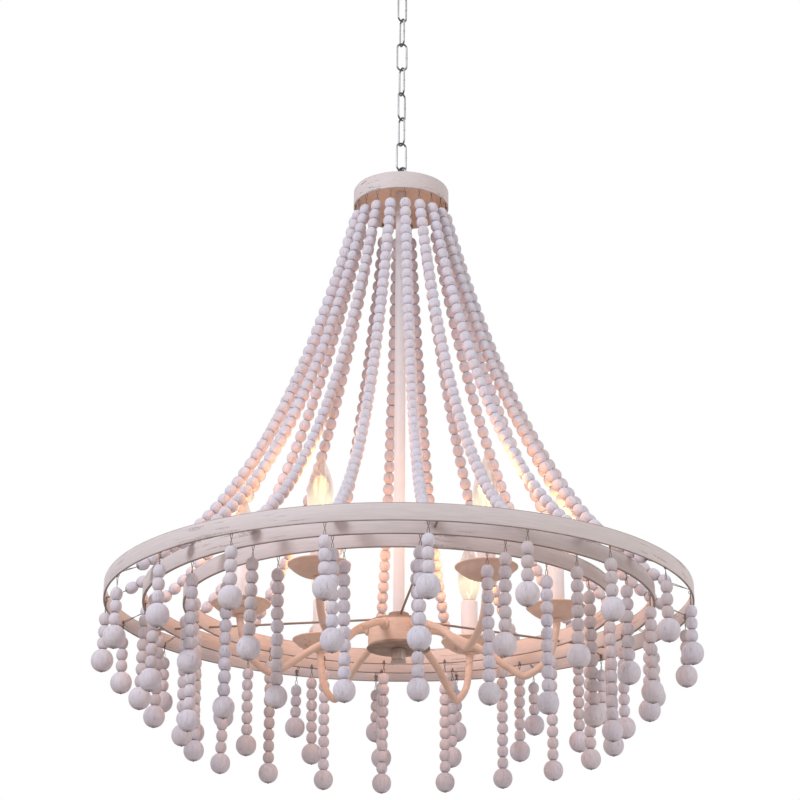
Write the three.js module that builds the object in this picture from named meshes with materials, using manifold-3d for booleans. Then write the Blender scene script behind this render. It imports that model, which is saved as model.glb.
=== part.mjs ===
// Beaded chandelier. A chain from the ceiling holds a round cap, a centre stem and a hub.
// Twenty bead strands drape from the cap to the outermost of three concentric flat bands, and
// twenty more hang from the lower edge of each band. Six candle arms spring from the hub.
// Millimetres, +Z up. The origin lies on the ceiling, straight above the stem.
// Angles round the stem are counted from the front (-Y) towards the right (+X).
import * as THREE from "three";
import { mergeVertices } from "three/addons/utils/BufferGeometryUtils.js";
import Module from "manifold-3d";

const degree = Math.PI / 180;
const fullTurn = 2 * Math.PI;

// Clearances
const seatGap = 0.3;
const weldDistance = 0.001;
const cutOverrun = 3;

// Ceiling strap and canopy
const strapLength = 100;
const strapWidth = 22;
const strapThickness = 2.5;
const strapBossRadius = 8.5;
const strapBossHeight = 9;
const screwSpacing = 76;
const screwHoleRadius = 2.5;
const screwHoleSides = 8;
const canopyRadius = 65;
const canopyHeight = 28;
const canopyWall = 1.5;
const canopySteps = 20;
const canopyRadiusShares = [1, 0.97, 0.8, 0.42];
const canopyDepthShares = [0, 0.45, 0.86, 1];

// Hanging loops of the canopy and the cap
const studRadius = 4.8;
const collarRadius = 10;
const collarHeight = 5;
const neckRadius = 3.5;
const canopyNeckLength = 8;
const capNeckLength = 15.5;
const loopRadius = 9;
const loopWire = 4;
const loopSteps = 12;
const loopWireSides = 6;
const turningSides = 10;
const canopyLoopTurn = 124 * degree;
const capLoopTurn = -50 * degree;

// Chain: how far each link is turned about the vertical, from the top down
const linkPitch = 42.3;
const linkWidth = 17;
const linkWire = 2.8;
const linkWireSides = 8;
const linkArcSteps = 4;
const linkGap = 0.4;
const linkTurns = [34, -66, 10, -62, 47, -56, 20].map((turn) => turn * degree);

// Cap
const capRadius = 69.5;
const capHeight = 27.5;
const capWall = 1.8;
const capAboveBands = 609.5;

// Reach of the candle arms, and the bands round them, each a gap outside the last
const armReach = 215;
const innerBandGap = 78.5;
const middleBandGap = 54.5;
const outerBandGap = 52;
const innerBandRadius = armReach + innerBandGap;
const middleBandRadius = innerBandRadius + middleBandGap;
const outerBandRadius = middleBandRadius + outerBandGap;
const bandHeight = 22.5;
const bandThickness = 2.5;

// Beads
const strandCount = 20;
const strandTurn = 4.3 * degree;
const outerStrandTurn = 5 * degree;
const strandsPerGroup = 5;
const beadDiameter = 16.5;
const beadPitch = 16.6;
const threadRadius = 3;
const largeBeadDiameter = 30;
const innerLargeBeadDiameter = 28;
const largeBeadRingShare = 0.7;
const beadSides = 4;
const hookWireRadius = 0.9;
const hookDrop = 15;
const hookRise = 3;
const carrierSides = 4;
const carrierStepsPerStrand = 2;
const roundSteps = strandCount * carrierStepsPerStrand;
const outerBeadCount = 3;
const middleBeadCount = 6;
const innerBeadCount = 9;

// Drape of the long strands: a catenary from below the cap, past the tips of the bulbs, to
// inside the outer band
const drapeTopRadius = 66.5;
const drapeTopBelowCap = 16.5;
const drapeEndInsideBand = 27.5;
const drapeEndAboveBands = 17.4;
const drapePastBulbs = 15.3;
const drapeSteps = 6;
const tightBendShare = 0.2;
const slackBendShare = 20;
const bendSearchCount = 50;
const capHoleAboveRim = 4;
const bandHoleAboveHooks = 3.5;

// Stem, hub and finial
const stemRadius = 7.75;
const hubRadius = 41.5;
const hubHeight = 35;
const hubBelowBands = 16;
const hubWall = 2;
const hubSteps = 18;
const plateRadius = 43;
const plateThickness = 2;
const studReach = 20;
const finialRadius = 9.8;
const finialHeight = 16;
const finialLipRadius = 10.6;
const finialLipHeight = 2.6;

// Spokes between the hub and the bands
const spokeCount = 3;
const spokeFirstTurn = 7.2 * degree;
const spokeRadius = 2;
const spokeSides = 6;
const spokeCollarRadius = 14;
const spokeCollarHeight = 12;
const spokeOuterHeight = 12.5;

// Candle arms
const armCount = 6;
const armFirstTurn = 31.5 * degree;
const armRadius = 5;
const armSides = 6;
const armSteps = 11;
const armBelowHubTop = 11;
const armDip = 60;
const armOutShares = [0.092, 0.28, 0.425, 0.667, 0.77, 0.937, 1];
const armDropShares = [0.03, 0.25, 0.45, 0.92, 1, 0.57, 0.22];
const flangeRadius = 7.2;
const flangeThickness = 3;
const armNutHeight = 4;
const panSeatHeight = 4;
const holderRadius = 9.2;
const holderHeight = 66;
const holderSocketDepth = 25;
const lampSides = 8;

// Drip pans, candle sleeves and bulbs
const panRadius = 41;
const panDepth = 17;
const panWall = 1.5;
const panRadiusShares = [0.32, 0.78, 1];
const panHeightShares = [0, 0.44, 1];
const panSteps = 12;
const panBelowBands = 8;
const sleeveRadius = 12;
const candleHeight = 74;
const bulbRadius = 17.5;
const bulbHeight = 95;
const bulbBaseRadius = 7;
const bulbHeightShares = [0, 0.13, 0.39, 0.62, 0.84];
const bulbRadiusShares = [0.52, 0.8, 1, 0.78, 0.32];

// Finishes
const paint = { color: 0xe3dddc, roughness: 0.6, metalness: 0.1 };
const chrome = { color: 0xd6d8da, roughness: 0.2, metalness: 1 };
const plating = { color: 0xb9bbbd, roughness: 0.35, metalness: 0.9 };
const whitewash = { color: 0xc9c6d0, roughness: 0.75, metalness: 0 };
const cream = { color: 0xf3e3dc, roughness: 0.5, metalness: 0 };
const clearGlass = { color: 0xfff1d8, roughness: 0.05, metalness: 0 };

// Heights from the ceiling down
const canopyCollarTop = -canopyHeight - seatGap;
const canopyLoopCentre = canopyCollarTop - collarHeight - canopyNeckLength - loopRadius;
const linkSpan = linkPitch + linkWire + linkGap;
const hookedLoopRise = (loopWire + linkWire) / 2 + linkGap;
const hookedLinkRise = linkWire + linkGap;
const linkTops = linkTurns.map(
  (_, i) => canopyLoopCentre - loopRadius + hookedLoopRise - i * (linkSpan - hookedLinkRise),
);
const lastLinkBottom = linkTops[linkTops.length - 1] - linkSpan;
const capLoopCentre = lastLinkBottom + hookedLoopRise - loopRadius;
const capTop = capLoopCentre - loopRadius - capNeckLength - collarHeight - seatGap;
const capRim = capTop - capHeight;
const bandBottom = capRim - capAboveBands;
const hubTop = bandBottom - hubBelowBands;
const hubBottom = hubTop - hubHeight;
const plateTop = hubBottom - seatGap;
const plateBottom = plateTop - plateThickness;
const stemTop = capTop - capWall - seatGap;
const stemBottom = plateTop + seatGap;
const panBottom = bandBottom - panBelowBands;
const holderBottom = panBottom + panWall + seatGap;
const sleeveTop = holderBottom + candleHeight;
const glassBottom = sleeveTop + seatGap;
const bulbTip = glassBottom + bulbHeight;
const armStart = hubTop - armBelowHubTop;

const wasm = await Module();
wasm.setup();

// The radius of a many-sided hole whose flats stay clear of a round piece of the given radius.
function clearBore(radius, sides) {
  return (radius + seatGap) / Math.cos(Math.PI / sides);
}

// How close to the stem a many-sided wall of the given corner radius comes.
function flatRadius(radius, sides) {
  return radius * Math.cos(Math.PI / sides);
}

// A closed geometry as a solid that can be joined and cut, whichever way its outline ran.
function solid(geometry) {
  geometry.deleteAttribute("normal");
  geometry.deleteAttribute("uv");
  const merged = mergeVertices(geometry, weldDistance);
  const vertProperties = merged.getAttribute("position").array;
  const triVerts = Uint32Array.from(merged.index.array);
  const made = new wasm.Manifold(new wasm.Mesh({ numProp: 3, vertProperties, triVerts }));
  if (made.volume() > 0) {
    return made;
  }
  const flipped = Uint32Array.from(triVerts).reverse();
  return new wasm.Manifold(new wasm.Mesh({ numProp: 3, vertProperties, triVerts: flipped }));
}

function joined(solids) {
  return solids.reduce((sum, next) => sum.add(next));
}

function cut(body, tools) {
  return tools.reduce((rest, tool) => rest.subtract(tool), body);
}

function mesh(name, body, finish) {
  const made = body.getMesh();
  const geometry = new THREE.BufferGeometry();
  geometry.setAttribute("position", new THREE.BufferAttribute(made.vertProperties, made.numProp));
  geometry.setIndex(new THREE.BufferAttribute(made.triVerts, 1));
  geometry.computeVertexNormals();
  const piece = new THREE.Mesh(geometry, new THREE.MeshStandardMaterial(finish));
  piece.name = name;
  return piece;
}

// A turned shape about the Z axis from [radius, height] pairs, with a corner at firstTurn.
function turned(outline, sides, firstTurn = 0) {
  const points = outline.map(([radius, height]) => new THREE.Vector2(radius, height));
  return new THREE.LatheGeometry(points, sides, firstTurn).rotateX(Math.PI / 2);
}

// A turned tube or shell: its outline closes on itself.
function turnedShell(outline, sides, firstTurn = 0) {
  return turned([...outline, outline[0]], sides, firstTurn);
}

// A point at an angle round the stem.
function around(turn, radius, height) {
  return new THREE.Vector3(radius * Math.sin(turn), -radius * Math.cos(turn), height);
}

function rod(from, to, radius, sides) {
  const along = new THREE.Vector3().subVectors(to, from);
  const geometry = new THREE.CylinderGeometry(radius, radius, along.length(), sides);
  const lean = new THREE.Quaternion();
  lean.setFromUnitVectors(new THREE.Vector3(0, 1, 0), along.clone().normalize());
  geometry.applyQuaternion(lean);
  const middle = new THREE.Vector3().addVectors(from, to).multiplyScalar(0.5);
  return geometry.translate(middle.x, middle.y, middle.z);
}

function polygon(radius, sides) {
  const corners = Array.from({ length: sides }, (_, i) => (i * fullTurn) / sides);
  return new THREE.Shape(
    corners.map((turn) => new THREE.Vector2(radius * Math.cos(turn), radius * Math.sin(turn))),
  );
}

function tube(path, radius, sides, steps) {
  const options = { steps, bevelEnabled: false, extrudePath: path };
  return new THREE.ExtrudeGeometry(polygon(radius, sides), options);
}

// A screwed loop: a stud, a collar, a neck and a round wire eye. It hangs below its collar, or
// stands on it where upward is 1. The stud's outline runs from its free end to the collar.
function screwedLoop(studOutline, collarFace, neckLength, upward, turn) {
  const collarEnd = collarFace + upward * collarHeight;
  const eyeSide = collarEnd + upward * neckLength;
  const eyeCentre = eyeSide + upward * loopRadius;
  const shank = turned(
    [
      ...studOutline,
      [studRadius, collarFace],
      [collarRadius, collarFace],
      [collarRadius, collarEnd],
      [neckRadius, collarEnd],
      [neckRadius, eyeSide],
      [0, eyeSide],
    ],
    turningSides,
  );
  const wireRadius = loopWire / 2;
  const section = Array.from({ length: loopWireSides }, (_, i) => {
    const corner = (i * fullTurn) / loopWireSides;
    return new THREE.Vector2(
      loopRadius + wireRadius * Math.cos(corner),
      wireRadius * Math.sin(corner),
    );
  });
  const eye = new THREE.LatheGeometry([...section, section[0]], loopSteps);
  eye.translate(0, 0, eyeCentre);
  return joined([solid(shank), solid(eye)]).rotate([0, 0, turn / degree]);
}

// The strap screwed to the ceiling: a flat bar with a boss below, tapped for the canopy's loop.
function buildStrap() {
  const blank = new THREE.BoxGeometry(strapLength, strapWidth, strapThickness);
  blank.translate(0, 0, -strapThickness / 2);
  const bossBottom = -strapThickness - strapBossHeight;
  const boss = turned(
    [
      [0, -strapThickness / 2],
      [strapBossRadius, -strapThickness / 2],
      [strapBossRadius, bossBottom],
      [0, bossBottom],
    ],
    turningSides,
  );
  const boreTop = new THREE.Vector3(0, 0, -strapThickness);
  const below = new THREE.Vector3(0, 0, bossBottom - cutOverrun);
  const studBore = rod(boreTop, below, clearBore(studRadius, turningSides), turningSides);
  const above = new THREE.Vector3(0, 0, cutOverrun);
  const screwHoles = [-1, 1].map((side) =>
    rod(above, below, screwHoleRadius, screwHoleSides).translate((side * screwSpacing) / 2, 0, 0),
  );
  const strap = joined([blank, boss].map(solid));
  return mesh("mounting_strap", cut(strap, [studBore, ...screwHoles].map(solid)), plating);
}

function buildCanopy() {
  const outside = canopyRadiusShares.map((share, i) => [
    share * canopyRadius,
    -canopyDepthShares[i] * canopyHeight,
  ]);
  const inside = canopyRadiusShares.map((share, i) => [
    share * (canopyRadius - canopyWall),
    -canopyDepthShares[i] * (canopyHeight - canopyWall),
  ]);
  const hole = clearBore(studRadius, turningSides);
  const outline = [
    ...outside,
    [hole, -canopyHeight],
    [hole, canopyWall - canopyHeight],
    ...inside.reverse(),
  ];
  return mesh("ceiling_canopy", solid(turnedShell(outline, canopySteps)), chrome);
}

function buildCanopyLoop() {
  const studTop = -strapThickness - seatGap;
  const stud = [
    [0, studTop],
    [studRadius, studTop],
  ];
  const body = screwedLoop(stud, canopyCollarTop, canopyNeckLength, -1, canopyLoopTurn);
  return mesh("canopy_loop", body, chrome);
}

// The outline of one side of a link's wire: two half circles and the straight legs between.
function oval(target, radius, halfSpan) {
  target.absarc(0, halfSpan, radius, 0, Math.PI, false);
  target.absarc(0, -halfSpan, radius, Math.PI, fullTurn, false);
  return target;
}

// One link, from a flat oval whose edges are bevelled once, so that its wire has eight sides.
function buildLink(top, turn, name) {
  const wireRadius = linkWire / 2;
  const bevel = wireRadius * (1 - Math.tan(Math.PI / linkWireSides));
  const bendRadius = (linkWidth - linkWire) / 2;
  const halfSpan = linkSpan / 2 - bendRadius;
  const outline = oval(new THREE.Shape(), bendRadius + wireRadius, halfSpan);
  outline.holes.push(oval(new THREE.Path(), bendRadius - wireRadius, halfSpan));
  const geometry = new THREE.ExtrudeGeometry(outline, {
    depth: linkWire - 2 * bevel,
    curveSegments: linkArcSteps,
    bevelThickness: bevel,
    bevelSize: bevel,
    bevelOffset: -bevel,
    bevelSegments: 1,
  });
  geometry.translate(0, 0, bevel - wireRadius).rotateX(Math.PI / 2);
  geometry.rotateZ(turn).translate(0, 0, top - linkSpan / 2);
  return mesh(name, solid(geometry), chrome);
}

function buildCapLoop() {
  const stud = [
    [0, capTop - studReach],
    [studRadius, capTop - studReach],
  ];
  const body = screwedLoop(stud, capTop + seatGap, capNeckLength, 1, capLoopTurn);
  return mesh("cap_loop", body, chrome);
}

function buildCap() {
  const hole = clearBore(studRadius, turningSides);
  const outline = [
    [hole, capTop],
    [capRadius, capTop],
    [capRadius, capRim],
    [capRadius - capWall, capRim],
    [capRadius - capWall, capTop - capWall],
    [hole, capTop - capWall],
  ];
  return mesh("top_cap", solid(turnedShell(outline, roundSteps, outerStrandTurn)), paint);
}

function buildStem() {
  const bore = clearBore(studRadius, turningSides);
  const outline = [
    [bore, stemBottom],
    [stemRadius, stemBottom],
    [stemRadius, stemTop],
    [bore, stemTop],
  ];
  return mesh("centre_stem", solid(turnedShell(outline, turningSides)), cream);
}

function armTurns() {
  return Array.from({ length: armCount }, (_, i) => armFirstTurn + (i * fullTurn) / armCount);
}

function buildHub() {
  const hole = clearBore(stemRadius, turningSides);
  const outline = [
    [hole, hubTop],
    [hubRadius, hubTop],
    [hubRadius, hubBottom],
    [hubRadius - hubWall, hubBottom],
    [hubRadius - hubWall, hubTop - hubWall],
    [hole, hubTop - hubWall],
  ];
  const armHoles = armTurns().map((turn) => {
    const from = around(turn, hubRadius - hubWall - cutOverrun, armStart);
    const to = around(turn, hubRadius + cutOverrun, armStart);
    return solid(rod(from, to, clearBore(armRadius, armSides), armSides));
  });
  return mesh("hub_drum", cut(solid(turnedShell(outline, hubSteps)), armHoles), paint);
}

function buildHubPlate() {
  const hole = clearBore(studRadius, turningSides);
  const outline = [
    [hole, plateTop],
    [plateRadius, plateTop],
    [plateRadius, plateBottom],
    [hole, plateBottom],
  ];
  return mesh("hub_bottom_plate", solid(turnedShell(outline, hubSteps)), paint);
}

function buildFinial() {
  const faceTop = plateBottom - seatGap;
  const lipTop = faceTop - finialHeight;
  const outline = [
    [0, plateTop + studReach],
    [studRadius, plateTop + studReach],
    [studRadius, faceTop],
    [finialRadius, faceTop],
    [finialRadius, lipTop],
    [finialLipRadius, lipTop],
    [finialLipRadius, lipTop - finialLipHeight],
    [0, lipTop - finialLipHeight],
  ];
  return mesh("bottom_finial", solid(turned(outline, turningSides)), paint);
}

// A spoke lies on a slope from its collar on the hub to the middle of the outer band.
function spokeEnds(turn, radiusFrom, radiusTo) {
  const innerRadius = spokeCollarRadius;
  const innerHeight = hubTop + seatGap + spokeCollarHeight / 2;
  const outerHeight = bandBottom + spokeOuterHeight;
  const slope = (outerHeight - innerHeight) / (outerBandRadius - innerRadius);
  return [radiusFrom, radiusTo].map((radius) =>
    around(turn, radius, innerHeight + slope * (radius - innerRadius)),
  );
}

function spokeTurns() {
  return Array.from({ length: spokeCount }, (_, i) => spokeFirstTurn + (i * fullTurn) / spokeCount);
}

function buildBand(name, radius, firstTurn, spokesPass) {
  const outline = [
    [radius - bandThickness, bandBottom],
    [radius, bandBottom],
    [radius, bandBottom + bandHeight],
    [radius - bandThickness, bandBottom + bandHeight],
  ];
  const band = solid(turnedShell(outline, roundSteps, firstTurn));
  if (!spokesPass) {
    return mesh(name, band, paint);
  }
  const holes = spokeTurns().map((turn) => {
    const from = radius - bandThickness - cutOverrun;
    const ends = spokeEnds(turn, from, radius + cutOverrun);
    return solid(rod(...ends, clearBore(spokeRadius, spokeSides), spokeSides));
  });
  return mesh(name, cut(band, holes), paint);
}

function buildSpokes() {
  const bore = clearBore(stemRadius, turningSides);
  const bottom = hubTop + seatGap;
  const collar = turnedShell(
    [
      [bore, bottom],
      [spokeCollarRadius, bottom],
      [spokeCollarRadius, bottom + spokeCollarHeight],
      [bore, bottom + spokeCollarHeight],
    ],
    turningSides,
  );
  const rods = spokeTurns().map((turn) => {
    const rodStart = (bore + spokeCollarRadius) / 2;
    const rodEnd = flatRadius(outerBandRadius - bandThickness, roundSteps) - seatGap;
    return rod(...spokeEnds(turn, rodStart, rodEnd), spokeRadius, spokeSides);
  });
  return mesh("ring_spokes", joined([collar, ...rods].map(solid)), paint);
}

// One hanging strand about the Z axis: a large bead at the foot, small beads and a hook wire.
function hangingStrand(beadCount, largeDiameter) {
  const large = largeDiameter / 2;
  const small = beadDiameter / 2;
  const firstBeadTop = bandBottom - hookDrop;
  const largeTop = firstBeadTop - beadCount * beadPitch;
  const largeCentre = largeTop - large;
  const shoulder = Math.sqrt(1 - largeBeadRingShare ** 2) * large;
  const outline = [
    [0, largeCentre - large],
    [largeBeadRingShare * large, largeCentre - shoulder],
    [large, largeCentre],
    [largeBeadRingShare * large, largeCentre + shoulder],
  ];
  for (let i = 0; i < beadCount; i++) {
    const beadBottom = largeTop + i * beadPitch;
    outline.push([threadRadius, beadBottom], [small, beadBottom + beadPitch / 2]);
  }
  outline.push([hookWireRadius, firstBeadTop], [hookWireRadius, bandBottom + hookRise]);
  outline.push([0, bandBottom + hookRise]);
  return turned(outline, beadSides);
}

// The turns of the strands in one group, a quarter of the way round.
function groupTurns(group, firstTurn) {
  return Array.from(
    { length: strandsPerGroup },
    (_, i) => firstTurn + ((group * strandsPerGroup + i) * fullTurn) / strandCount,
  );
}

// Where a hook wire stands just inside a wall whose corners are at the strands.
function insideWall(wallRadius) {
  return wallRadius - clearBore(hookWireRadius, roundSteps);
}

// A thin wire bent along the inside of a band or the cap, which carries the strands of a group.
function carrierWire(turns, radius, height) {
  const steps = (turns.length - 1) * carrierStepsPerStrand;
  const span = turns[turns.length - 1] - turns[0];
  const bends = Array.from({ length: steps + 1 }, (_, i) =>
    around(turns[0] + (i * span) / steps, radius, height),
  );
  const path = new THREE.CurvePath();
  for (let i = 0; i < steps; i++) {
    path.add(new THREE.LineCurve3(bends[i], bends[i + 1]));
  }
  return tube(path, hookWireRadius, carrierSides, steps);
}

function buildHangingGroup(name, turns, bandRadius, beadCount, largeDiameter) {
  const radius = insideWall(bandRadius - bandThickness);
  const strands = turns.map((turn) => {
    const place = around(turn, radius, 0);
    return hangingStrand(beadCount, largeDiameter).rotateZ(turn).translate(place.x, place.y, 0);
  });
  const carrier = carrierWire(turns, radius, bandBottom + hookRise);
  return mesh(name, joined([carrier, ...strands].map(solid)), whitewash);
}

// The drape in its own upright plane, from the radius and height of both its ends. A larger bend
// is a flatter curve.
class DrapeCurve extends THREE.Curve {
  constructor(turn, bend) {
    super();
    this.turn = turn;
    this.bend = bend;
    this.from = drapeTopRadius;
    this.to = outerBandRadius - bandThickness - drapeEndInsideBand;
    const drop = capRim - drapeTopBelowCap - (bandBottom + drapeEndAboveBands);
    const halfRun = Math.sinh((this.to - this.from) / (2 * bend));
    const tilt = bend * Math.asinh(drop / (2 * bend * halfRun));
    this.lowest = (this.from + this.to) / 2 + tilt;
    this.base = bandBottom + drapeEndAboveBands - this.rise(this.to);
  }

  rise(radius) {
    return this.bend * Math.cosh((this.lowest - radius) / this.bend);
  }

  radiusAt(height) {
    return this.lowest - this.bend * Math.acosh((height - this.base) / this.bend);
  }

  getPoint(t) {
    const radius = this.from + t * (this.to - this.from);
    return around(this.turn, radius, this.base + this.rise(radius));
  }
}

// The drape's bend, at which it passes the bulbs' tips at the named distance.
function bendPastBulbs() {
  const run = outerBandRadius - bandThickness - drapeEndInsideBand - drapeTopRadius;
  let tight = run * tightBendShare;
  let slack = run * slackBendShare;
  for (let i = 0; i < bendSearchCount; i++) {
    const middle = (tight + slack) / 2;
    if (new DrapeCurve(0, middle).radiusAt(bulbTip) < armReach + drapePastBulbs) {
      tight = middle;
    } else {
      slack = middle;
    }
  }
  return tight;
}

const drapeBend = bendPastBulbs();

// One long strand: a tube of the beads' diameter with a hook wire at each end.
function drapedStrand(turn) {
  const curve = new DrapeCurve(turn, drapeBend);
  const strand = tube(curve, beadDiameter / 2, beadSides, drapeSteps);
  const capHook = around(turn, insideWall(capRadius - capWall), capRim + capHoleAboveRim);
  const besideTop = capHook.clone().setZ(capRim - drapeTopBelowCap - beadPitch / 2);
  const insideTop = curve.getPointAt(beadPitch / 2 / curve.getLength());
  const bandHole = bandBottom + hookRise + bandHoleAboveHooks;
  const bandHook = around(turn, insideWall(outerBandRadius - bandThickness), bandHole);
  const insideEnd = curve.getPointAt(1 - beadPitch / 2 / curve.getLength());
  return [
    strand,
    rod(capHook, besideTop, hookWireRadius, carrierSides),
    rod(besideTop, insideTop, hookWireRadius, carrierSides),
    rod(insideEnd, bandHook, hookWireRadius, carrierSides),
  ];
}

function buildDrapedGroup(name, turns) {
  const radius = insideWall(capRadius - capWall);
  const carrier = carrierWire(turns, radius, capRim + capHoleAboveRim);
  const strands = turns.flatMap((turn) => drapedStrand(turn));
  return mesh(name, joined([carrier, ...strands].map(solid)), whitewash);
}

// The arm along +X: a nut inside the hub, a flange outside it, a tube that dips and turns up,
// the seat of the drip pan and the lamp holder inside the candle sleeve.
function buildArm(name) {
  const start = flatRadius(hubRadius - hubWall, hubSteps) - seatGap;
  const outside = flatRadius(hubRadius, hubSteps) + seatGap;
  const nipple = turned(
    [
      [0, start - armNutHeight],
      [flangeRadius, start - armNutHeight],
      [flangeRadius, start],
      [armRadius, start],
      [armRadius, outside],
      [flangeRadius, outside],
      [flangeRadius, outside + flangeThickness],
      [0, outside + flangeThickness],
    ],
    armSides,
  );
  nipple.rotateY(Math.PI / 2).translate(0, 0, armStart);
  const seatTop = panBottom - seatGap;
  const bends = armOutShares.map(
    (share, i) =>
      new THREE.Vector3(
        hubRadius + share * (armReach - hubRadius),
        0,
        armStart - armDropShares[i] * armDip,
      ),
  );
  const path = new THREE.CatmullRomCurve3([
    new THREE.Vector3(outside, 0, armStart),
    ...bends,
    new THREE.Vector3(armReach, 0, seatTop - panSeatHeight / 2),
  ]);
  const socketFloor = holderBottom + holderHeight - holderSocketDepth;
  const socket = clearBore(bulbBaseRadius, lampSides);
  const holder = turned(
    [
      [0, seatTop - panSeatHeight],
      [flangeRadius, seatTop - panSeatHeight],
      [flangeRadius, seatTop],
      [armRadius, seatTop],
      [armRadius, holderBottom],
      [holderRadius, holderBottom],
      [holderRadius, holderBottom + holderHeight],
      [socket, holderBottom + holderHeight],
      [socket, socketFloor],
      [0, socketFloor],
    ],
    lampSides,
  );
  holder.translate(armReach, 0, 0);
  const parts = [nipple, tube(path, armRadius, armSides, armSteps), holder];
  return mesh(name, joined(parts.map(solid)), paint);
}

function buildPan(name) {
  const hole = clearBore(armRadius, panSteps);
  const outside = panRadiusShares.map((share, i) => [
    share * panRadius,
    panBottom + panHeightShares[i] * panDepth,
  ]);
  const inside = panRadiusShares.map((share, i) => [
    share * (panRadius - panWall),
    panBottom + panWall + panHeightShares[i] * (panDepth - panWall),
  ]);
  const outline = [[hole, panBottom], ...outside, ...inside.reverse(), [hole, panBottom + panWall]];
  return mesh(name, solid(turnedShell(outline, panSteps).translate(armReach, 0, 0)), paint);
}

function buildSleeve(name) {
  const bore = clearBore(holderRadius, lampSides);
  const outline = [
    [bore, holderBottom],
    [sleeveRadius, holderBottom],
    [sleeveRadius, sleeveTop],
    [bore, sleeveTop],
  ];
  const sleeve = turnedShell(outline, lampSides).translate(armReach, 0, 0);
  return mesh(name, solid(sleeve), cream);
}

// The bulb: a screw base that stands in the holder, and a flame-shaped glass above the sleeve.
function buildBulb(name) {
  const baseBottom = holderBottom + holderHeight - holderSocketDepth + seatGap;
  const glass = bulbRadiusShares.map((share, i) => [
    share * bulbRadius,
    glassBottom + bulbHeightShares[i] * bulbHeight,
  ]);
  const outline = [
    [0, baseBottom],
    [bulbBaseRadius, baseBottom],
    [bulbBaseRadius, glassBottom],
    ...glass,
    [0, bulbTip],
  ];
  return mesh(name, solid(turned(outline, lampSides).translate(armReach, 0, 0)), clearGlass);
}

const chandelier = new THREE.Group();
chandelier.add(buildStrap(), buildCanopy(), buildCanopyLoop());
linkTurns.forEach((turn, i) => {
  chandelier.add(buildLink(linkTops[i], turn, `chain_link_${i + 1}`));
});
chandelier.add(buildCapLoop(), buildCap(), buildStem());
chandelier.add(buildHub(), buildHubPlate(), buildFinial(), buildSpokes());
chandelier.add(
  buildBand("outer_ring", outerBandRadius, outerStrandTurn, false),
  buildBand("middle_ring", middleBandRadius, strandTurn, true),
  buildBand("inner_ring", innerBandRadius, strandTurn, true),
);

armTurns().forEach((turn, i) => {
  const lamp = new THREE.Group();
  lamp.rotation.z = turn - Math.PI / 2;
  lamp.add(
    buildArm(`arm_${i + 1}`),
    buildPan(`drip_pan_${i + 1}`),
    buildSleeve(`candle_sleeve_${i + 1}`),
    buildBulb(`bulb_${i + 1}`),
  );
  chandelier.add(lamp);
});

const quarters = ["front_right", "rear_right", "rear_left", "front_left"];
const hangingRows = [
  ["outer", outerBandRadius, outerStrandTurn, outerBeadCount, largeBeadDiameter],
  ["middle", middleBandRadius, strandTurn, middleBeadCount, largeBeadDiameter],
  ["inner", innerBandRadius, strandTurn, innerBeadCount, innerLargeBeadDiameter],
];
quarters.forEach((quarter, group) => {
  const drapeTurns = groupTurns(group, outerStrandTurn);
  chandelier.add(buildDrapedGroup(`draped_strands_${quarter}`, drapeTurns));
  hangingRows.forEach(([row, bandRadius, firstTurn, beadCount, largeDiameter]) => {
    const name = `${row}_strands_${quarter}`;
    const turns = groupTurns(group, firstTurn);
    chandelier.add(buildHangingGroup(name, turns, bandRadius, beadCount, largeDiameter));
  });
});

export default chandelier;
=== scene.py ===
"""Beaded chandelier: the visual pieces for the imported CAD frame, in metres, +Z up.

Angles round the stem are counted from the front (-Y) towards the right (+X), as in the CAD.
"""

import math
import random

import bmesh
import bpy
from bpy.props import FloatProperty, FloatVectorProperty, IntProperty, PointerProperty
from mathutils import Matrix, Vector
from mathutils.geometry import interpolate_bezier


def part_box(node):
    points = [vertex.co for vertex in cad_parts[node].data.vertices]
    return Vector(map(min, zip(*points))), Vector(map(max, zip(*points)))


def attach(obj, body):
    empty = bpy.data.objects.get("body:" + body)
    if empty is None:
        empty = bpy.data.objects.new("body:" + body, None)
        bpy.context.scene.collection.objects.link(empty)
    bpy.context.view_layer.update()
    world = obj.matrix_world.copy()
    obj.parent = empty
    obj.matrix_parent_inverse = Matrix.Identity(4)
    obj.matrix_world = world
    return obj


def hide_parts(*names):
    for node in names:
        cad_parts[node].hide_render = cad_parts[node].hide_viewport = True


bl_info = {
    "name": "Beaded Chandelier",
    "version": (1, 0, 0),
    "blender": (4, 5, 0),
    "location": "3D View > Sidebar > Chandelier",
    "description": "Makes the pieces of a beaded chandelier on its CAD frame",
    "category": "Object",
}

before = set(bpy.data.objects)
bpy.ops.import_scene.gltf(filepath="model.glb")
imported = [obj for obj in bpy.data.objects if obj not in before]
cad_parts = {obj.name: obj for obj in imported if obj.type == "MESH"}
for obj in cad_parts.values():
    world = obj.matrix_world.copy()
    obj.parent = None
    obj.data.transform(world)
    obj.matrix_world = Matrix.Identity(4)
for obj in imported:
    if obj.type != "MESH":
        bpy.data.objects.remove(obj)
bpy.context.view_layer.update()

UP = Vector((0, 0, 1))
FULL_TURN = 2 * math.pi
QUARTERS = ("front_right", "rear_right", "rear_left", "front_left")
LAMPS = range(1, 7)
LINKS = range(1, 8)
SPOKES = 3

# Points nearer than this become one
MERGE = 1e-6

# Gap between pieces that rest on each other
GAP = 0.0003

# Facets round the turned pieces
BAND_FACETS = 240
CAP_FACETS = 128
DRUM_FACETS = 96
PAN_FACETS = 64
ROD_FACETS = 48
BULB_FACETS = 40
NUT_FACETS = 36
SCREW_FACETS = 32

# Sides round the swept pieces
ARM_SIDES = 20
LOOP_SIDES = 14
LINK_SIDES = 12
SPOKE_SIDES = 10
FINE_SIDES = 8

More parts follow.
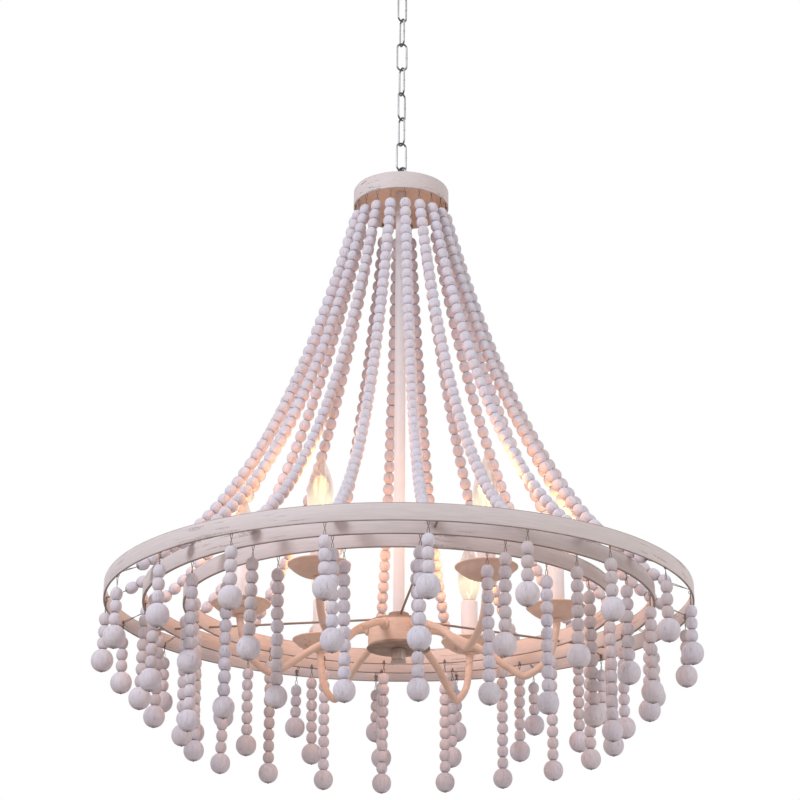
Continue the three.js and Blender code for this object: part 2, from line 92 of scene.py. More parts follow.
# The studs of both loops and of the finial
STUD_RADIUS = 0.0048

# Both loops' collar and tapering neck, and how far from the middle of the eye the collar is looked for
COLLAR_RADIUS = 0.010
NECK_RADII = (0.0042, 0.0033, 0.0031)
NECK_TAPER = 0.002
EYE_CLEARANCE = 0.0125

# Steps round each end of a chain link and round a loop's eye, and how far a weld swells the wire
BOW_STEPS = 12
LOOP_STEPS = 40
WELD_SWELL = 1.2

# Steps across a softened edge
EDGE_STEPS = 2

# The rounding of the cap's upper edge
CAP_CURVE = 0.0025

# The nut on the stem below the cap
NUT_DROP = 0.010
NUT_HEIGHT = 0.009
NUT_WALL = 0.003
NUT_OVERLAP = 0.0004

# The groove above the finial's lip: distance in from the lip, and height above the foot
FINIAL_GROOVE = ((0.001, 0.0035), (0.0022, 0.003), (0.0, 0.0024))

# The spokes' collar, how deep they start in it, and their outer ends
SPOKE_COLLAR_RADIUS = 0.014
SPOKE_COLLAR_HEIGHT = 0.012
SPOKE_SUNK = 0.002
SPOKE_END_GAP = 0.0012
SPOKE_END_HEIGHT = 0.0125

# Each arm's curve: shares of its reach beyond the hub, and of its dip
ARM_SHARES = ((0.092, 0.03), (0.28, 0.25), (0.425, 0.45), (0.667, 0.92), (0.77, 1.0), (0.937, 0.57))
ARM_SUNK = 0.006
ARM_END_DROPS = (0.011, 0.002)
ARM_STEPS = 5

# The nut inside the hub and the flange outside it: radius, and distance out from the hub's side
FLANGE_PROFILE = (
    (0.0, -0.0085), (0.0072, -0.0085), (0.0072, -0.0045), (0.005, -0.0045), (0.005, 0.0),
    (0.0078, 0.0), (0.0078, 0.0016), (0.0068, 0.0032), (0.0054, 0.004), (0.0, 0.004),
)

# The seat below a drip pan: radius, and drop below the pan
SEAT_PROFILE = ((0.0, 0.004), (0.006, 0.004), (0.0078, 0.0025), (0.0078, 0.0), (0.005, 0.0))

# The lamp holder inside a candle sleeve
HOLDER_RADIUS = 0.0092
SOCKET_RADIUS = 0.0079
SOCKET_DEPTH = 0.025

# Each drip pan's bowl, from its flat floor outwards: shares of its radius and of its height
PAN_SHARES = (
    (0.32, 0.0), (0.44, 0.05), (0.56, 0.14), (0.68, 0.28), (0.78, 0.44), (0.87, 0.62), (0.94, 0.8),
)

# Its rolled rim: distance in and down from the edge, as shares of the lip
PAN_RIM_SHARES = ((0.3, 1.0), (0.0, 0.6), (0.0, 0.25), (0.4, 0.0), (0.9, 0.1))

# The canopy's bowl, from the ceiling down: shares of its radius and of its depth
CANOPY_SHARES = (
    (1.0, 0.0), (0.99, 0.3), (0.955, 0.55), (0.88, 0.76), (0.75, 0.9), (0.58, 0.975), (0.42, 1.0),
)

# Each bulb's glass: shares of its widest radius and of its height
GLASS_SHARES = (
    (0.5, 0.0), (0.6, 0.05), (0.82, 0.13), (0.96, 0.25), (1.0, 0.39), (0.93, 0.52),
    (0.77, 0.64), (0.53, 0.76), (0.29, 0.87), (0.13, 0.95), (0.07, 0.985), (0.0, 1.0),
)

# Each bulb's screw: radius and height of its foot, its thread, and its top above the sleeve
SCREW_FOOT = ((0.0, 0.0), (0.003, 0.0), (0.0045, 0.003))
THREAD_RADII = (0.0064, 0.007)
THREAD_START = 0.004
THREAD_STEP = 0.0013
THREAD_STEPS = 14
SCREW_TOP = ((0.0068, 0.0), (0.0085, 0.0015), (0.0, 0.0022))

# Each bulb's two filament strips, and the light that they give
FILAMENT_HEIGHT_SHARE = 0.22
FILAMENT_APART = 0.0035
FILAMENT_FOOT_APART = 0.0012
FILAMENT_STEP = 0.0062
FILAMENT_RADIUS = 0.0009
BULB_LIGHT_HEIGHT_SHARE = 0.66
BULB_LIGHT_RADIUS = 0.012

# Beads: sides round and spans along them, how far they tilt and shift, and their random draws
SMALL_BEAD_FACETS = (12, 5)
LARGE_BEAD_FACETS = (24, 12)
DRAPED_TILT = 0.05
HANGING_TILT = 0.07
HANGING_SHIFT = 0.0003
DRAPED_SEED = 41
HANGING_SEED = 17

# How much of their strand's own tone the draped beads and the large beads take
DRAPED_TONE_SHARE = 0.7
LARGE_TONE_SHARE = 0.6

# Wires: their sides, steps round an eye, a crossed wire and a draped strand, and the distance at
# which a crossed wire passes itself, in wire radii
WIRE_SIDES = 6
EYE_STEPS = 12
CROSSED_STEPS = 24
DRAPE_STEPS = 20
CROSSED_APART = 1.2

# Lights and floor of the stage
KEY_PLACE = Vector((-2.0, -2.3, 0.6))
KEY_WIDTH = 1.3
FILL_PLACE = Vector((3.0, -1.3, -0.9))
FILL_WIDTH = 1.8
HORIZON_SPREAD = 0.6
FLOOR_REACH = 6.0

# Worn paints: the ground's colour, the strokes' waves a metre, from where in their noise strokes and
# patches show, and how strongly
WORN_PAINTS = {
    "band_paint": ("paint", (15.0, 15.0, 230.0), 0.585, 0.5, 0.4),
    "cap_paint": ("paint", (60.0, 60.0, 420.0), 0.58, 0.42, 0.7),
    # The cap's inside takes a warmer copy of the paint: painted warm lamplight
    "cap_inside": ("inside", (60.0, 60.0, 200.0), 0.6, 0.5, 0.5),
    "arm_paint": ("arm", (40.0, 40.0, 80.0), 0.6, 0.5, 0.4),
    "rod_paint": ("rod", (40.0, 40.0, 80.0), 0.6, 0.5, 0.4),
    "hub_paint": ("arm", (40.0, 40.0, 160.0), 0.6, 0.5, 0.5),
}


def length(name, description, default):
    return FloatProperty(name=name, description=description, default=default, unit="LENGTH")


def angle(name, description, degrees):
    return FloatProperty(
        name=name, description=description, default=math.radians(degrees), subtype="ANGLE"
    )


def share(name, description, default):
    return FloatProperty(name=name, description=description, default=default, subtype="FACTOR")


def power(name, description, default):
    return FloatProperty(name=name, description=description, default=default, unit="POWER")


def number(name, description, default):
    return IntProperty(name=name, description=description, default=default)


def linear(code):
    """The linear colour of a hexadecimal screen colour."""
    parts = [int(code[i:i + 2], 16) / 255 for i in (0, 2, 4)]
    return [p / 12.92 if p <= 0.04045 else ((p + 0.055) / 1.055) ** 2.4 for p in parts]


def colour(name, description, code):
    return FloatVectorProperty(
        name=name, description=description, default=linear(code), subtype="COLOR", min=0, max=1
    )


class BeadSizes(bpy.types.PropertyGroup):
    small: length("Small bead", "Diameter of the small beads", 0.0165)
    pitch: length("Bead spacing", "Distance between small beads on a strand", 0.01659)
    large: length("Large bead", "Diameter of the large end beads", 0.030)
    inner_large: length("Inner large bead", "Diameter of the inner ring's end beads", 0.028)
    flat_end: length("Flat end", "Diameter of the flat ends of a bead", 0.0072)
    fullness: share("Fullness", "A small bead's shoulders: 1 is a ball, less is fuller", 0.88)
    large_fullness: share("Large fullness", "A large bead's shoulders", 0.92)
    strands: number("Strands", "Strands round each ring", 20)
    first_turn: angle("First strand", "Turn of the first strand on the two smaller rings", 4.3)
    outer_turn: angle("First outer strand", "Turn of the first strand on the outer ring", 5.0)
    outer_count: number("Outer beads", "Small beads of a strand on the outer ring", 3)
    middle_count: number("Middle beads", "Small beads of a strand on the middle ring", 6)
    inner_count: number("Inner beads", "Small beads of a strand on the inner ring", 9)
    sway: angle("Sway", "How far a hanging strand may lean", 1.1)


class HookSizes(bpy.types.PropertyGroup):
    wire: length("Hook wire", "Radius of the strands' thin wire", 0.00045)
    eye: length("Hook eye", "Radius of the small eyes on the rings", 0.0022)
    rise: length("Eye height", "Height of the eyes above the rings' lower edge", 0.003)
    drop: length("Hook drop", "From the rings' lower edge to the first bead", 0.015)
    stand_off: length("Stand-off", "From a wall to the hooks inside it", 0.0012)
    cap_rise: length("Cap eye height", "Height of the eyes above the cap's rim", 0.004)
    drape_rise: length("Drape eye height", "Drapes' eyes above the hanging ones", 0.0035)
    spread: length("Wire spread", "Half the width of a crossed wire", 0.0015)
    knot: length("Knot", "Radius of the knots at the ends of a strand", 0.0011)


class DrapeSizes(bpy.types.PropertyGroup):
    top_radius: length("Top radius", "Distance of the first bead from the stem", 0.0665)
    below_cap: length("Top drop", "Drop of the first bead below the cap's rim", 0.0165)
    inside_ring: length("End inset", "Inset of the last bead from the outer ring", 0.0275)
    above_ring: length("End height", "Height of the last bead above the rings' lower edge", 0.0174)
    bend: length("Bend", "Shape of the hanging curve: a larger value is flatter", 0.1972)


class MetalSizes(bpy.types.PropertyGroup):
    link_wire: length("Link wire", "Diameter of the chain's wire", 0.0028)
    link_split: length("Link split", "Gap where a link's wire ends meet", 0.0005)
    weld: length("Link weld", "Half the length of the weld on a link", 0.0012)
    loop_wire: length("Loop wire", "Diameter of the wire of both loops", 0.004)
    loop_radius: length("Loop radius", "Radius of both loops to the middle of their wire", 0.009)
    edge: length("Edge", "Width of the softened edges", 0.0004)
    cap_wall: length("Cap wall", "Thickness of the cap's sheet", 0.0018)
    hub_wall: length("Hub wall", "Thickness of the hub's sheet", 0.002)
    pan_wall: length("Pan wall", "Thickness of the drip pans' sheet", 0.0015)
    pan_lip: length("Pan lip", "Width of the drip pans' rolled rim", 0.0026)
    arm_radius: length("Arm radius", "Radius of the arm tubes", 0.005)
    arm_dip: length("Arm dip", "How far the arms dip below their start", 0.060)
    arm_below_hub: length("Arm start", "From the hub's top to the arms' start", 0.011)
    spoke_radius: length("Spoke radius", "Radius of the spokes", 0.0016)
    spoke_turn: angle("First spoke", "How far the first spoke stands from the front", 7.2)


class FinishColours(bpy.types.PropertyGroup):
    paint: colour("Paint", "Off-white paint of the rings and the cap", "ded4d4")
    arm: colour("Arm paint", "Cream paint of the arms, the pans and the hub", "ebcdbc")
    rod: colour("Rods", "Grey-brown metal of the spokes", "9a867c")
    # Also the colour of the dark lines along the paint's edges, which are partly painted shade
    wear: colour("Wear", "Brown that shows through the worn paint", "7a6257")
    # Warmer and lighter than the paint outside: painted warm lamplight on the cap's inside
    inside: colour("Cap inside", "Tan inside of the cap", "efdccf")
    cream: colour("Cream", "Cream paint of the stem and the candle sleeves", "f0f2f8")
    chrome: colour("Chrome", "Bright plating of the chain", "aaaaad")
    wire: colour("Wire", "Dark steel of the hooks", "776b65")
    zinc: colour("Zinc", "Plated steel of the ceiling strap", "b9bbbd")
    cool_bead: colour("Cool bead", "Coolest tone of the whitewashed beads", "e0e1f0")
    warm_bead: colour("Warm bead", "Warmest tone of the whitewashed beads", "e8dde1")
    dull_bead: colour("Dull bead", "Tone of the beads whose wash has worn", "b9a9a6")
    # Also the painted shade on the beads' ends, where they meet
    grain_and_joint_shade: colour("Grain", "Dark grain lines and ends of the beads", "82757a")
    glass: colour("Glass", "Glass of the bulbs, as their own light tints it", "dcb9aa")
    glow: colour("Glow", "Light of the bulbs", "ffaa5e")
    halo: colour("Halo", "Glow of the glass round the filament", "fff4d6")
    flame: colour("Filament", "Brightest part of the filaments", "ffe3ae")


class StageSettings(bpy.types.PropertyGroup):
    camera_back: length("Camera distance", "Distance of the camera from the stem", 2.837)
    camera_height: length("Camera height", "Height of the camera, below the ceiling", -1.8228)
    camera_pitch: angle("Camera pitch", "How far the camera looks up", 21.28)
    lens: FloatProperty(name="Lens", description="Focal length", default=96.8, unit="CAMERA")
    floor_height: length("Floor height", "Height of the floor, below the ceiling", -2.45)
    camera_roll: angle("Camera roll", "How far the camera leans to its left", 0.33)
    ambient: share("Light from above", "Strength of the surrounding light from above", 0.55)
    ambient_below: share("Light from below", "Strength of the surrounding light from below", 0.37)
    floor_bounce: colour("Floor bounce", "Colour of the light that the floor throws back", "cabeb7")
    key: power("Key light", "Power of the key light", 58.0)
    fill: power("Fill light", "Power of the fill light", 27.0)
    bulb: power("Bulb light", "Power of each bulb", 0.72)
    key_colour: colour("Key colour", "Colour of the key light", "f4f6ff")
    below_colour: colour("Colour from below", "Colour of the light from below", "ffe2d2")


class Signal:
    """The output of a shader node, which takes part in sums like a number."""

    def __init__(self, finish, socket):
        self.finish = finish
        self.socket = socket

    def __add__(self, other):
        return self.finish.maths("ADD", self, other)

    def __sub__(self, other):
        return self.finish.maths("SUBTRACT", self, other)

    def __rsub__(self, other):
        return self.finish.maths("SUBTRACT", other, self)

    def __mul__(self, other):
        return self.finish.maths("MULTIPLY", self, other)

    def __abs__(self):
        return self.finish.maths("ABSOLUTE", self)

    __radd__ = __add__
    __rmul__ = __mul__


class Finish:
    """A node tree that is built up by expressions."""

    def __init__(self, tree):
        self.tree = tree
        self.tree.nodes.clear()

    def node(self, kind, settings=None, sockets=None, output=0):
        """Add a node: its settings first, then the values or links of its sockets."""
        made = self.tree.nodes.new(kind)
        for key, value in (settings or {}).items():
            setattr(made, key, value)
        for key, value in (sockets or {}).items():
            if isinstance(value, Signal):
                self.tree.links.new(value.socket, made.inputs[key])
            else:
                made.inputs[key].default_value = value
        return Signal(self, made.outputs[output]) if made.outputs else made

    def maths(self, operation, first, second=0.0):
        return self.node("ShaderNodeMath", {"operation": operation}, {0: first, 1: second})

    def place(self):
        return self.node("ShaderNodeTexCoord", output="Object")

    def part(self, vector, axis):
        return self.node("ShaderNodeSeparateXYZ", sockets={0: vector}, output=axis)

    def attribute(self, name):
        return self.node("ShaderNodeAttribute", {"attribute_name": name}, output="Vector")

    def noise(self, vector, scale, detail=3.0, roughness=0.5):
        sockets = {"Vector": vector, "Scale": scale, "Detail": detail, "Roughness": roughness}
        return self.node("ShaderNodeTexNoise", sockets=sockets)

    def grain(self, vector, waves, detail=3.0, roughness=0.5, scale=1.0):
        """Noise with its own number of waves a metre along X, Y and Z."""
        drawn_out = self.node("ShaderNodeMapping", sockets={"Vector": vector, "Scale": waves})
        return self.noise(drawn_out, scale, detail, roughness)

    def step(self, value, low, high):
        """Rises smoothly from 0 at low to 1 at high."""
        return self.node(
            "ShaderNodeMapRange",
            {"interpolation_type": "SMOOTHSTEP"},
            {"Value": value, "From Min": low, "From Max": high},
        )

    def blend(self, factor, first, second):
        sockets = {0: factor, 6: first, 7: second}
        return self.node("ShaderNodeMix", {"data_type": "RGBA"}, sockets, output=2)

    def bump(self, height, strength, distance):
        sockets = {"Height": height, "Strength": strength, "Distance": distance}
        return self.node("ShaderNodeBump", sockets=sockets)

    def surface(self, sockets):
        shader = self.node("ShaderNodeBsdfPrincipled", sockets=sockets)
        self.node("ShaderNodeOutputMaterial", sockets={"Surface": shader})


def around(turn, radius, height):
    """A point at an angle round the stem."""
    return Vector((radius * math.sin(turn), -radius * math.cos(turn), height))


def reach(node, centre=(0.0, 0.0)):
    """The nearest and the farthest corner of a CAD node from an upright axis."""
    corners = bpy.data.objects[node].data.vertices
    spans = [math.hypot(c.co.x - centre[0], c.co.y - centre[1]) for c in corners]
    return min(spans), max(spans)


def rise(node):
    """The lowest and the highest point of a CAD node."""
    low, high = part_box(node)
    return low[2], high[2]


def axis_of(node):
    """Where the upright axis through the middle of a CAD node stands."""
    low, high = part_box(node)
    return (low[0] + high[0]) / 2, (low[1] + high[1]) / 2


def flat_way(node):
    """The level direction in which the flat plane of a loop or a link lies."""
    corners = [corner.co for corner in bpy.data.objects[node].data.vertices]
    crossed = sum(c.x * c.y for c in corners)
    spread = sum(c.x ** 2 - c.y ** 2 for c in corners)
    turn = math.atan2(2 * crossed, spread) / 2
    return Vector((math.cos(turn), math.sin(turn), 0))


# Edges with a dark line, partly wear and partly painted shade: their levels, and the width of the dark
# line along them
WORN_AND_SHADED_EDGES = {
    "band_paint": (rise("outer_ring"), 0.0009),
    "cap_paint": (rise("top_cap")[:1], 0.0009),
    "hub_paint": ((rise("hub_bottom_plate")[0], rise("hub_drum")[1]), 0.0036),
}


def shade(values, factor=1.0):
    """An opaque colour, made darker or lighter by a factor."""
    return (*(value * factor for value in values), 1.0)


def worn_paint(finish, colours, ground, waves, stroke_from, patch_from, wear, edges=(), line=0.0):
    """Paint with soft brown strokes where it has worn, and thin dark lines along its edges, partly
    wear and partly painted shade.
    """
    ground = getattr(colours, ground)
    place = finish.place()
    strokes = finish.grain(place, waves, 2.5)
    patches = finish.noise(place, 7.0, 1.0)
    chips = finish.noise(place, 380.0, 2.0)
    shown = finish.step(strokes, stroke_from, stroke_from + 0.05)
    shown = shown * finish.step(patches, patch_from, patch_from + 0.08)
    wear_and_edge_shade = shown * finish.step(chips, 0.3, 0.55) * wear
    # Dark lines along the edges: partly wear, partly painted shade
    for level in edges:
        away = abs(finish.part(place, "Z") - level)
        dark = 1 - finish.step(away, line / 2, 1.4 * line)
        dark = dark * (0.4 + 0.6 * finish.noise(place, 60.0))
        wear_and_edge_shade = wear_and_edge_shade + dark * (1 - wear_and_edge_shade)
    mottle = finish.noise(place, 26.0, 4.0)
    brushed = finish.grain(place, waves, scale=2.1)
    base = finish.blend(mottle, shade(ground, 0.92), shade(ground, 1.03))
    base = finish.blend(finish.step(brushed, 0.35, 0.65) * 0.4, base, shade(ground, 0.8))
    finish.surface({
        "Base Color": finish.blend(wear_and_edge_shade, base, shade(colours.wear)),
        "Roughness": 0.5 + 0.16 * mottle + 0.15 * wear_and_edge_shade,
        "Normal": finish.bump(brushed * 0.6 + chips * 0.4, 0.25, 0.0004),
    })


def rubbed_knob(finish, colours):
    """Paint rubbed down to grey metal by the hand that turns it."""
    rubbing_and_shade = finish.grain(finish.place(), (300.0, 300.0, 40.0))
    finish.surface({
        "Base Color": finish.blend(rubbing_and_shade, shade(colours.zinc, 0.6), shade(colours.arm, 0.9)),
        "Metallic": 0.6 * rubbing_and_shade,
        "Roughness": 0.3 + 0.2 * rubbing_and_shade,
        "Normal": finish.bump(rubbing_and_shade, 0.15, 0.0003),
    })


def cream_paint(finish, colours):
    """Smooth paint with a faint mottle."""
    place = finish.place()
    mottle = finish.noise(place, 40.0)
    finish.surface({
        "Base Color": finish.blend(mottle, shade(colours.cream, 0.94), shade(colours.cream, 1.02)),
        "Roughness": 0.38 + 0.18 * mottle,
        "Normal": finish.bump(finish.noise(place, 260.0, 2.0), 0.12, 0.0003),
    })


def bright_chrome(finish, colours):
    """Plating with dull spots, darkened where the links of the chain cross: rub marks there, and
    painted shade between the links.
    """
    place = finish.place()
    haze = finish.noise(place, 120.0)
    # Where the links cross they are darkened: rub marks, and painted shade between the links
    upper, lower = rise("chain_link_1"), rise("chain_link_2")
    crossing = (upper[0] + lower[1]) / 2
    away = finish.maths("PINGPONG", finish.part(place, "Z") - crossing, (upper[0] - lower[0]) / 2)
    rubbing_and_shade = 1 - finish.step(away, 0.0018, 0.0052)
    spots = finish.step(finish.noise(place, 520.0, 2.0), 0.58, 0.7) * 0.25
    spots_and_crossing_shade = spots + rubbing_and_shade * 0.72 * (1 - spots)
    finish.surface({
        "Base Color": finish.blend(spots_and_crossing_shade, shade(colours.chrome), shade(colours.chrome, 0.16)),
        "Metallic": 1.0,
        "Roughness": 0.34 + 0.2 * haze,
        "Normal": finish.bump(haze, 0.08, 0.0002),
    })


def plated_steel(finish, colours):
    """Plain plated steel, brushed along its length."""
    brush = finish.grain(finish.place(), (30.0, 900.0, 900.0))
    finish.surface({
        "Base Color": finish.blend(brush, shade(colours.zinc, 0.8), shade(colours.zinc)),
        "Metallic": 0.95,
        "Roughness": 0.28 + 0.2 * brush,
        "Normal": finish.bump(brush, 0.1, 0.0002),
    })


def dark_wire(finish, colours):
    """Tarnished wire."""
    tarnish = finish.noise(finish.place(), 300.0)
    finish.surface({
        "Base Color": finish.blend(tarnish, shade(colours.wire, 0.6), shade(colours.wire, 1.3)),
        "Metallic": 0.4,
        "Roughness": 0.4 + 0.25 * tarnish,
    })


def bead_wood(finish, colours):
    """Whitewashed wood: each strand and bead has its own tone, with fine grain along its bore, and
    painted shade on its ends where the beads meet.
    """
    mark = finish.attribute("bead_mark")
    own, end, strand = (finish.part(mark, axis) for axis in "XYZ")
    apart = finish.node("ShaderNodeCombineXYZ", sockets={0: own * 3.1, 1: own * 7.3, 2: own * 5.7})
    place = finish.node(
        "ShaderNodeVectorMath", {"operation": "ADD"}, {0: finish.attribute("bead_place"), 1: apart}
    )
    grain = finish.grain(place, (620.0, 620.0, 55.0), 3.0, 0.6)
    streaks = finish.grain(place, (260.0, 260.0, 22.0), 2.0)
    cracks = finish.step(finish.grain(place, (430.0, 430.0, 70.0), 2.0), 0.62, 0.7)
    cloud = finish.noise(place, 110.0, 2.0)
    tones = own * 0.4 + strand * 0.6
    wash = finish.blend(tones, shade(colours.cool_bead), shade(colours.warm_bead))
    wash = finish.blend(finish.step(strand, 0.5, 1.0) * 0.42, wash, shade(colours.dull_bead))
    darkening = (
        (finish.step(grain, 0.36, 0.64) * 0.22, 0.66),
        (finish.step(cloud, 0.4, 0.65) * 0.2, 0.74),
        (finish.step(streaks, 0.46, 0.68) * 0.18, 0.62),
    )
    for amount, factor in darkening:
        wash = finish.blend(amount, wash, shade(colours.warm_bead, factor))
    open_grain = cracks * 0.3
    # Each bead's ends are darkened: painted shade where the beads meet
    dark = open_grain + finish.step(end, 0.88, 1.0) * 0.5 * (1 - open_grain)
    finish.surface({
        "Base Color": finish.blend(dark, wash, shade(colours.grain_and_joint_shade)),
        "Roughness": 0.74 + 0.2 * grain,
        "Specular IOR Level": 0.3,
        "Normal": finish.bump(grain - cracks * 0.8, 0.35, 0.0006),
    })


def bulb_glass(finish, colours):
    """Clear glass, tinted in its middle, with faint upright ripples and a glow at its filament."""
    rim = finish.node("ShaderNodeLayerWeight", sockets={"Blend": 0.4}, output="Facing")
    place = finish.place()
    ripple = finish.grain(place, (150.0, 150.0, 9.0), 1.0)
    streak = finish.step(ripple, 0.48, 0.62)
    foot = rise("candle_sleeve_1")[1]
    tall = rise("bulb_1")[1] - foot
    away = abs(finish.part(place, "Z") - (foot + FILAMENT_HEIGHT_SHARE * tall))
    lit = (1 - finish.step(away, 0.04 * tall, 0.3 * tall)) * (1 - 0.4 * rim)
    tint = finish.blend(streak, shade(colours.glass), shade(colours.glass, 0.7))
    finish.surface({
        "Base Color": (0.0, 0.0, 0.0, 1.0),
        "Roughness": 0.04 + 0.06 * ripple,
        "IOR": 1.45,
        "Alpha": 0.46 - 0.2 * rim + 0.2 * streak + 0.36 * lit,
        "Emission Color": finish.blend(lit, tint, shade(colours.halo)),
        "Emission Strength": 1.0,
    })


def lit_filament(finish, colours):
    """Glowing strips, brighter in places."""
    glow = finish.noise(finish.place(), 800.0, 1.0)
    finish.surface({
        "Base Color": shade(colours.glow),
        "Roughness": 0.5,
        "Emission Color": finish.blend(glow, shade(colours.glow), shade(colours.flame)),
        "Emission Strength": 6.0,
    })


PLAIN_FINISHES = (
    rubbed_knob, cream_paint, bright_chrome, plated_steel,
    dark_wire, bead_wood, bulb_glass, lit_filament,
)
FINISHES = {make.__name__: make for make in PLAIN_FINISHES}


def material(name):
    """The named finish, made when it is first asked for."""
    title = f"{name}_finish"
    if title not in bpy.data.materials:
        made = bpy.data.materials.new(title)
        made.use_nodes = True
        finish = Finish(made.node_tree)
        colours = bpy.context.scene.chandelier_colours
        if name in WORN_PAINTS:
            worn_paint(finish, colours, *WORN_PAINTS[name], *WORN_AND_SHADED_EDGES.get(name, ()))
        else:
            FINISHES[name](finish, colours)
    return bpy.data.materials[title]


def turned(profile, segments, closed=False, centre=(0.0, 0.0)):
    """A shape spun about an upright axis from pairs of radius and height."""
    bm = bmesh.new()
    points = [bm.verts.new((radius, 0.0, height)) for radius, height in profile]
    edges = [bm.edges.new(pair) for pair in zip(points, points[1:])]
    if closed:
        edges.append(bm.edges.new((points[-1], points[0])))
    bmesh.ops.spin(
        bm, geom=points + edges, cent=(0, 0, 0), axis=(0, 0, 1), dvec=(0, 0, 0),
        angle=FULL_TURN, steps=segments, use_merge=True, use_duplicate=False,
    )
    bmesh.ops.remove_doubles(bm, verts=bm.verts, dist=MERGE)
    bmesh.ops.recalc_face_normals(bm, faces=bm.faces)
    bmesh.ops.translate(bm, verts=bm.verts, vec=(*centre, 0.0))
    return bm


def tube(inner, outer, low, high, segments, edge, centre=(0.0, 0.0)):
    """An upright tube or flat ring with softened edges."""
    profile = [(inner, low), (outer, low), (outer, high), (inner, high)]
    return soften(turned(profile, segments, closed=True, centre=centre), edge)


def soften(bm, width, least=35):
    """Bevel the edges that are sharper than the least angle, in degrees."""
    sharp = [e for e in bm.edges if e.is_manifold and e.calc_face_angle() > math.radians(least)]
    bmesh.ops.bevel(
        bm, geom=sharp, offset=width, offset_type="OFFSET", affect="EDGES",
        segments=EDGE_STEPS, profile=0.5, material=-1, clamp_overlap=True,
    )
    return bm


def swept(route, radius, sides, closed=False):
    """A round wire along a route of points."""
    bm = bmesh.new()
    count = len(route)
    ways = []
    for i in range(count):
        before = route[i - 1] if closed or i > 0 else route[i]
        after = route[(i + 1) % count] if closed or i < count - 1 else route[i]
        ways.append((after - before).normalized())
    tilt = UP.rotation_difference(ways[0])
    start = Matrix.LocRotScale(route[0], tilt, None)
    bmesh.ops.create_circle(bm, cap_ends=not closed, radius=radius, segments=sides, matrix=start)
    edges = list(bm.edges)
    for i in range(1, count + 1 if closed else count):
        grown = bmesh.ops.extrude_edge_only(bm, edges=edges)["geom"]
        verts = [part for part in grown if isinstance(part, bmesh.types.BMVert)]
        lines = [part for part in grown if isinstance(part, bmesh.types.BMEdge)]
        edges = [line for line in lines if line.is_boundary]
        swing = ways[i - 1].rotation_difference(ways[i % count]).to_matrix().to_4x4()
        move = Matrix.Translation(route[i % count]) @ swing @ Matrix.Translation(-route[i - 1])
        bmesh.ops.transform(bm, matrix=move, verts=verts)
    if closed:
        bmesh.ops.remove_doubles(bm, verts=bm.verts, dist=radius / 20)
    else:
        bmesh.ops.holes_fill(bm, edges=edges, sides=0)
    bmesh.ops.recalc_face_normals(bm, faces=bm.faces)
    return bm


def smooth_route(points, steps):
    """Points along a smooth curve through the given ones."""
    route = []
    last = len(points) - 1
    for i in range(last):
        here, there = points[i], points[i + 1]
        leave = here + (there - points[max(i - 1, 0)]) / 6
        arrive = there - (points[min(i + 2, last)] - here) / 6
        route.extend(interpolate_bezier(here, leave, arrive, there, steps + 1)[:-1])
    return route + [points[last]]


def ring_route(centre, across, along, radius, steps):
    """Points round a circle in the plane of two directions."""
    turns = [FULL_TURN * i / steps for i in range(steps)]
    return [centre + radius * (math.cos(t) * across + math.sin(t) * along) for t in turns]


def meshed(name, bm):
    """A mesh from a shape, which is freed."""
    mesh = bpy.data.meshes.new(name)
    bm.to_mesh(mesh)
    bm.free()
    return mesh


def added(target, part):
    """Add one shape to another and free it."""
    carrier = meshed("carrier", part)
    target.from_mesh(carrier)
    bpy.data.meshes.remove(carrier)
    return target


def gathered(parts):
    whole = bmesh.new()
    for part in parts:
        added(whole, part)
    return whole


def placed(name, data):
    """An object that holds its data, in the scene."""
    made = bpy.data.objects.new(name, data)
    bpy.context.scene.collection.objects.link(made)
    return made


def new_piece(name, bm, finish, replaces=(), body="fixture", sharp=32):
    """Make a finished object that rides on a CAD body."""
    mesh = meshed(name, bm)
    mesh.materials.append(material(finish))
    mesh.shade_smooth()
    mesh.set_sharp_from_angle(angle=math.radians(sharp))
    piece = placed(name, mesh)
    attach(piece, body)
    if replaces:
        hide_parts(*replaces)
    return piece


def strand_turns(quarter, first_turn, beads):
    """The angles of one quarter's strands."""
    count = beads.strands // len(QUARTERS)
    first = quarter * count
    return [first_turn + FULL_TURN * (first + i) / beads.strands for i in range(count)]


def bead_form(diameter, bore, flat_end, fullness, facets):
    """A bead with flat ends, its bore along the Z axis at the origin, as a mesh to copy."""
    sides, spans = facets
    first = math.asin(flat_end / diameter)
    turns = [first + (math.pi - 2 * first) * i / spans for i in range(spans + 1)]
    half = bore / 2 / math.cos(first)
    profile = [(diameter / 2 * math.sin(t) ** fullness, -half * math.cos(t)) for t in turns]
    bm = turned(profile, sides)
    bmesh.ops.holes_fill(bm, edges=bm.edges, sides=0)
    bmesh.ops.recalc_face_normals(bm, faces=bm.faces)
    return meshed("bead_form", bm)


def string_bead(target, form, bore, place, way, spin, own, strand):
    """Add a bead with its bore along a direction, marked with its own and its strand's tone."""
    count = len(target.verts)
    target.from_mesh(form)
    target.verts.ensure_lookup_table()
    inside = target.verts.layers.float_vector.get("bead_place")
    marks = target.verts.layers.float_vector.get("bead_mark")
    turn = UP.rotation_difference(way).to_matrix().to_4x4()
    move = Matrix.Translation(place) @ turn @ Matrix.Rotation(spin, 4, "Z")
    for vert in target.verts[count:]:
        vert[inside] = vert.co
        # The second mark, the share of the way to the bead's end, places the painted shade where beads
        # meet
        vert[marks] = (own, abs(vert.co.z) / (bore / 2), strand)
        vert.co = move @ vert.co


def bead_string():
    """An empty shape that holds beads and their marks."""
    bm = bmesh.new()
    bm.verts.layers.float_vector.new("bead_place")
    bm.verts.layers.float_vector.new("bead_mark")
    return bm


def wander(chance, most):
    """A random step, at most this far each way."""
    return Vector([chance.uniform(-most, most) for _ in range(3)])


